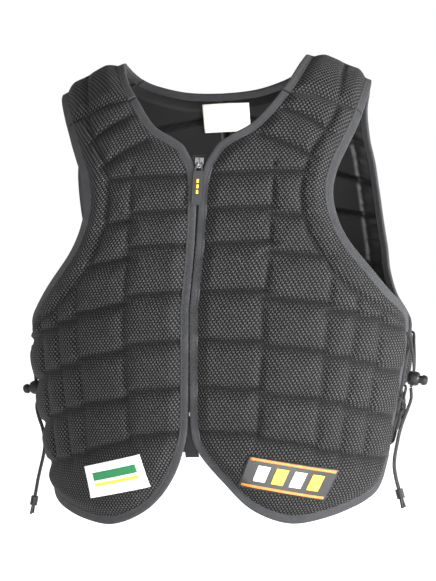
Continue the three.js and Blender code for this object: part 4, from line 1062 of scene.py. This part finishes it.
# Zip: teeth in the gap, and finishes for the hard pieces
ZIP_TOP, CHAIN_END = 181, 443
TOOTH_PITCH = 1.5
TOOTH_SHIFT = 0.55
TOOTH_HALF = np.array([1.35, 0.5, CHAIN_THICKNESS / 2])
centres, axes = [], []
for k, run in enumerate(np.arange(ZIP_TOP + 1, CHAIN_END - 1, TOOTH_PITCH)):
    way = 1 if k % 2 else -1
    point, normal, downward, side_way = frame_at(way * TOOTH_SHIFT, run)
    centres.append(point + normal * CHAIN_LIFT)
    axes.append((side_way, downward, normal))
teeth = box_mesh("zip_teeth", centres, axes, TOOTH_HALF, black_plastic)
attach(teeth, "vest")
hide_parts("zip_chain")


def paint(node, material):
    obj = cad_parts[node]
    obj.data.materials.clear()
    obj.data.materials.append(material)


for node in ("zip_tape_left", "zip_tape_right", "zip_guard"):
    paint(node, tape_cloth)
for node in ("zip_slider", "zip_bottom_stop"):
    paint(node, metal)
paint("zip_pull", tip_plastic)
for side in ("left", "right"):
    for part in ("cord_lock_body", "cord_lock_plunger", "cord_end"):
        paint(f"{part}_{side}", black_plastic)

# Three plain yellow bars on the pull
SLIDER_CLEARANCE = 0.4
MARK_SHARES = (0.30, 0.46, 0.62)
MARK_HALF = np.array([1.1, 1.9, 0.12])
MARK_RISE = 0.05
slider_lift = CHAIN_LIFT + CHAIN_THICKNESS / 2 + SEAT_GAP + SLIDER_THICKNESS / 2 + SLIDER_CLEARANCE
hinge_lift = slider_lift + SLIDER_THICKNESS / 2 + (BRIDGE_RISE - BRIDGE_WIRE / 2) / 2
hinge = lifted(0.0, SLIDER_RUN, hinge_lift)
pull_end = lifted(0.0, SLIDER_RUN + PULL_RING_LENGTH + PULL_LENGTH, PULL_STAND_OFF)
pull_down = unit(pull_end - hinge)
pull_side = frame_at(0.0, SLIDER_RUN)[3]
pull_front = np.cross(pull_side, -pull_down)
mark_centres = []
for share in MARK_SHARES:
    down = PULL_RING_LENGTH + PULL_LENGTH * share
    mark_centres.append(hinge + pull_down * down + pull_front * (PULL_THICKNESS / 2 + MARK_RISE))
mark_axes = [(pull_side, pull_down, pull_front)] * len(MARK_SHARES)
marks = box_mesh("zip_pull_mark", mark_centres, mark_axes, MARK_HALF, badge_yellow)
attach(marks, "pull")


# Side lacing
def lace_places(sign):
    """Points along one side's lace, from one strand at the lock round to the other."""
    cord_lift = LOCK_LIFT + CORD_FROM_LOCK_BASE
    in_cross, out_cross = 5.2, 4.6
    near_lock_lift = 6.4
    over = CORD_DIAMETER * 1.13
    edge_lift = BINDING_HALF + CORD_DIAMETER * 0.7

    def through(name, start, end):
        around, run = EYELETS[name]
        return [(around, run, lift) for lift in (start, 0, end)]

    def cross(a, b, lift):
        (a0, a1), (b0, b1) = EYELETS[a], EYELETS[b]
        return [(lerp(a0, b0, s), lerp(a1, b1, s), lift) for s in (0.2, 0.5, 0.8)]

    def near_lock(name):
        around, run = EYELETS[name]
        return [(lerp(SIDE_MIDDLE, around, 0.6), lerp(LOCK_RUN, run, 0.75), near_lock_lift)]

    def at_lock(offset):
        shifts = (CORD_PAST_LOCK, 0, -CORD_PAST_LOCK)
        return [(SIDE_MIDDLE + offset, LOCK_RUN + shift, cord_lift) for shift in shifts]

    # the eyelets in turn, and how high the strand to the next one lies
    passes = [
        ("front_top", -in_cross), ("back_middle", out_cross), ("front_low", -in_cross),
        ("back_low", out_cross + over), ("front_middle", -in_cross - over), ("back_top", 0),
    ]
    places = at_lock(-CORD_SPREAD) + near_lock("front_top")
    for (name, lift), (following, _) in zip(passes, passes[1:]):
        places += through(name, edge_lift, -edge_lift) + cross(name, following, lift)
        edge_lift = -edge_lift
    places += through("back_top", edge_lift, -edge_lift) + near_lock("back_top")
    places += at_lock(CORD_SPREAD)[::-1]
    a, r, h = np.array(places).T
    return side_point(sign, a, r, h)


for sign in (1, -1):
    side = side_name(sign)
    lace = tube(f"laced_cord_{side}", spline(lace_places(sign), 420), CORD_DIAMETER / 2, cord_cloth)
    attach(lace, "vest")
    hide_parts(f"side_lace_{side}")
    for order, offset in (("front", -CORD_SPREAD), ("back", CORD_SPREAD)):
        a, r, h = np.array(HANGING_PATHS[sign], float).T
        line = spline(side_point(sign, a + offset, r, h), 60)
        cord = tube(f"free_cord_{order}_{side}", line, CORD_DIAMETER / 2, cord_cloth)
        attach(cord, "vest")
        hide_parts(f"hanging_cord_{order}_{side}")


# Care label: a bare woven tag
def plate(name, places, lift, thickness, material):
    """A thin plate over a grid of cloth places."""
    first_row = list(range(places.shape[1]))
    half = thickness / 2
    cloth, points, faces = layers(places, lift + half, lift - half, first_row)
    return new_mesh(name, points, faces.tolist(), [material], cloth)


LABEL_THICKNESS = 0.7
LABEL_GAP, LABEL_DROP = 0.6, 1
label_top = back_neck_inset[-1, 1] - (BINDING_WIDTH - TUCK) - LABEL_GAP - LABEL_DROP
label_u = np.linspace(LABEL_ACROSS - LABEL_WIDTH / 2, LABEL_ACROSS + LABEL_WIDTH / 2, 31)
label_v = np.linspace(label_top, label_top - LABEL_HEIGHT, 21)
label_grid = np.stack(np.meshgrid(label_u, label_v), axis=-1)
label_flat = label_grid.reshape(-1, 2)
label_edge = line_distance(label_flat, back_neck_line, back_edge_line)
label_pad = swell(PAD_IN, label_edge - BINDING_WIDTH)
label_lift = -(label_pad + LABEL_STAND_OFF + LABEL_WAVE * wander(label_flat, 22.0, 4.0))
label = plate("neck_label", label_grid, label_lift, LABEL_THICKNESS, label_cloth)
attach(label, "vest")
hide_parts("care_label")


# Badges on the hem lobes: a plate each, with plain bars on it
RIGHT_BADGE = dict(sign=-1, across=97, run=508, width=80, height=34, turn=10, lean=0)
LEFT_BADGE = dict(sign=1, across=106.6, run=512, width=100, height=34, turn=11, lean=0.3)
WHOLE_BADGE = ((0, 0), (1, 1))
BADGE_STEPS = (40, 16)
BADGE_STAND_OFF = 1.5
PLATE_LEVEL, PLATE_THICKNESS = 0.6, 1.0
BAR_LEVEL, BAR_THICKNESS = 1.15, 0.2


def badge_places(box, sign, across, run, width, height, turn, lean):
    """Cloth places over part of a badge: box is its low and high shares along and up."""
    (u0, v0), (u1, v1) = box
    u, v = np.meshgrid(np.linspace(u0, u1, BADGE_STEPS[0]), np.linspace(v0, v1, BADGE_STEPS[1]))
    x = (u - 0.5) * width + (v - 0.5) * height * lean * -sign
    y = (v - 0.5) * height
    angle = math.radians(turn) * sign
    sideways = sign * across + x * math.cos(angle) - y * math.sin(angle)
    down = run + x * math.sin(angle) + y * math.cos(angle)
    return np.stack([sideways, down], axis=-1)


def badge_layer(name, spec, box, material, node=None):
    """A badge's plate where it stands for a node, or else a bar on it."""
    level, thickness = (PLATE_LEVEL, PLATE_THICKNESS) if node else (BAR_LEVEL, BAR_THICKNESS)
    places = badge_places(box, **spec)
    flat = places.reshape(-1, 2)
    distance = past_binding(line_distance(flat, sided(front_perimeter, spec["sign"])))
    lift = swell(PAD_OUT, distance) + BADGE_STAND_OFF + level
    obj = plate(name, places, lift, thickness, material)
    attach(obj, "vest")
    if node:
        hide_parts(node)


badge_layer("badge_plate_right", RIGHT_BADGE, WHOLE_BADGE, badge_white, "hem_badge_right")
for kind, low, high, tone in (("green", 0.25, 0.5, badge_green), ("yellow", 0.58, 0.68, badge_yellow)):
    box = ((0.12, low), (0.88, high))
    badge_layer(f"badge_{kind}_band", RIGHT_BADGE, box, tone)
badge_layer("badge_plate_left", LEFT_BADGE, WHOLE_BADGE, badge_black, "hem_badge_left")
for end, low, high in (("top", 0.06, 0.13), ("low", 0.87, 0.94)):
    box = ((0.03, low), (0.97, high))
    badge_layer(f"badge_orange_{end}", LEFT_BADGE, box, badge_orange)
for k, share in enumerate((0.14, 0.34, 0.54, 0.74)):
    tone = badge_white if k % 2 == 0 else badge_yellow
    box = ((share, 0.26), (share + 0.13, 0.74))
    badge_layer(f"badge_bar_{k + 1}", LEFT_BADGE, box, tone)

# Stage: a pale floor, soft light and the camera at the photograph's angle
scene = bpy.context.scene
scene.view_settings.view_transform = "Standard"
world = bpy.data.worlds.new("studio")
scene.world = world
world.use_nodes = True
background = world.node_tree.nodes["Background"].inputs
background["Strength"].default_value = 1.0
sky = Nodes(world.node_tree)
upward = sky.split(sky.place("Generated"))[2]
sky.link(sky.mix(sky.band(upward, 0.3, 0.75), (1, 1, 1), (0.3, 0.3, 0.3)), background["Color"])

FLOOR_Z = -0.62
FLOOR_REACH = 30.0
floor_material = plain(
    "floor_pale", (0.95, 0.95, 0.95), 0.9, Emission_Color=(1, 1, 1, 1), Emission_Strength=0.7
)
floor_mesh = bpy.data.meshes.new("floor")
floor_corners = [
    (x * FLOOR_REACH, y * FLOOR_REACH, FLOOR_Z) for x, y in ((-1, -1), (1, -1), (1, 1), (-1, 1))
]
floor_mesh.from_pydata(floor_corners, [], [(0, 1, 2, 3)])
floor_mesh.materials.append(floor_material)
floor = add_object("floor", floor_mesh)


def area_light(name, place, target, size, power):
    data = bpy.data.lights.new(name, "AREA")
    data.shape = "SQUARE"
    data.size = size
    data.energy = power
    obj = add_object(name, data)
    obj.location = place
    obj.rotation_euler = (Vector(target) - Vector(place)).to_track_quat("-Z", "Y").to_euler()


MIDDLE = (0, 0, -0.23)
area_light("key_right", (1.7, -0.75, -0.1), MIDDLE, 0.5, 84)
area_light("low_front", (0.4, -1.3, -0.56), MIDDLE, 0.5, 26)

AZIMUTH = math.radians(8)
DISTANCE = 1.4
SIDE_STEP = -0.0032
TARGET_Z = -0.2307
VIEW_WIDTH = 0.488
SENSOR_WIDTH = 36
camera_data = bpy.data.cameras.new("camera")
camera = add_object("camera", camera_data)
camera_data.sensor_fit = "HORIZONTAL"
camera_data.sensor_width = SENSOR_WIDTH
camera_data.lens = SENSOR_WIDTH * DISTANCE / VIEW_WIDTH
camera.location = (
    math.sin(AZIMUTH) * DISTANCE + SIDE_STEP * math.cos(AZIMUTH),
    -math.cos(AZIMUTH) * DISTANCE + SIDE_STEP * math.sin(AZIMUTH),
    TARGET_Z,
)
camera.rotation_euler = (math.pi / 2, 0, AZIMUTH)
scene.camera = camera
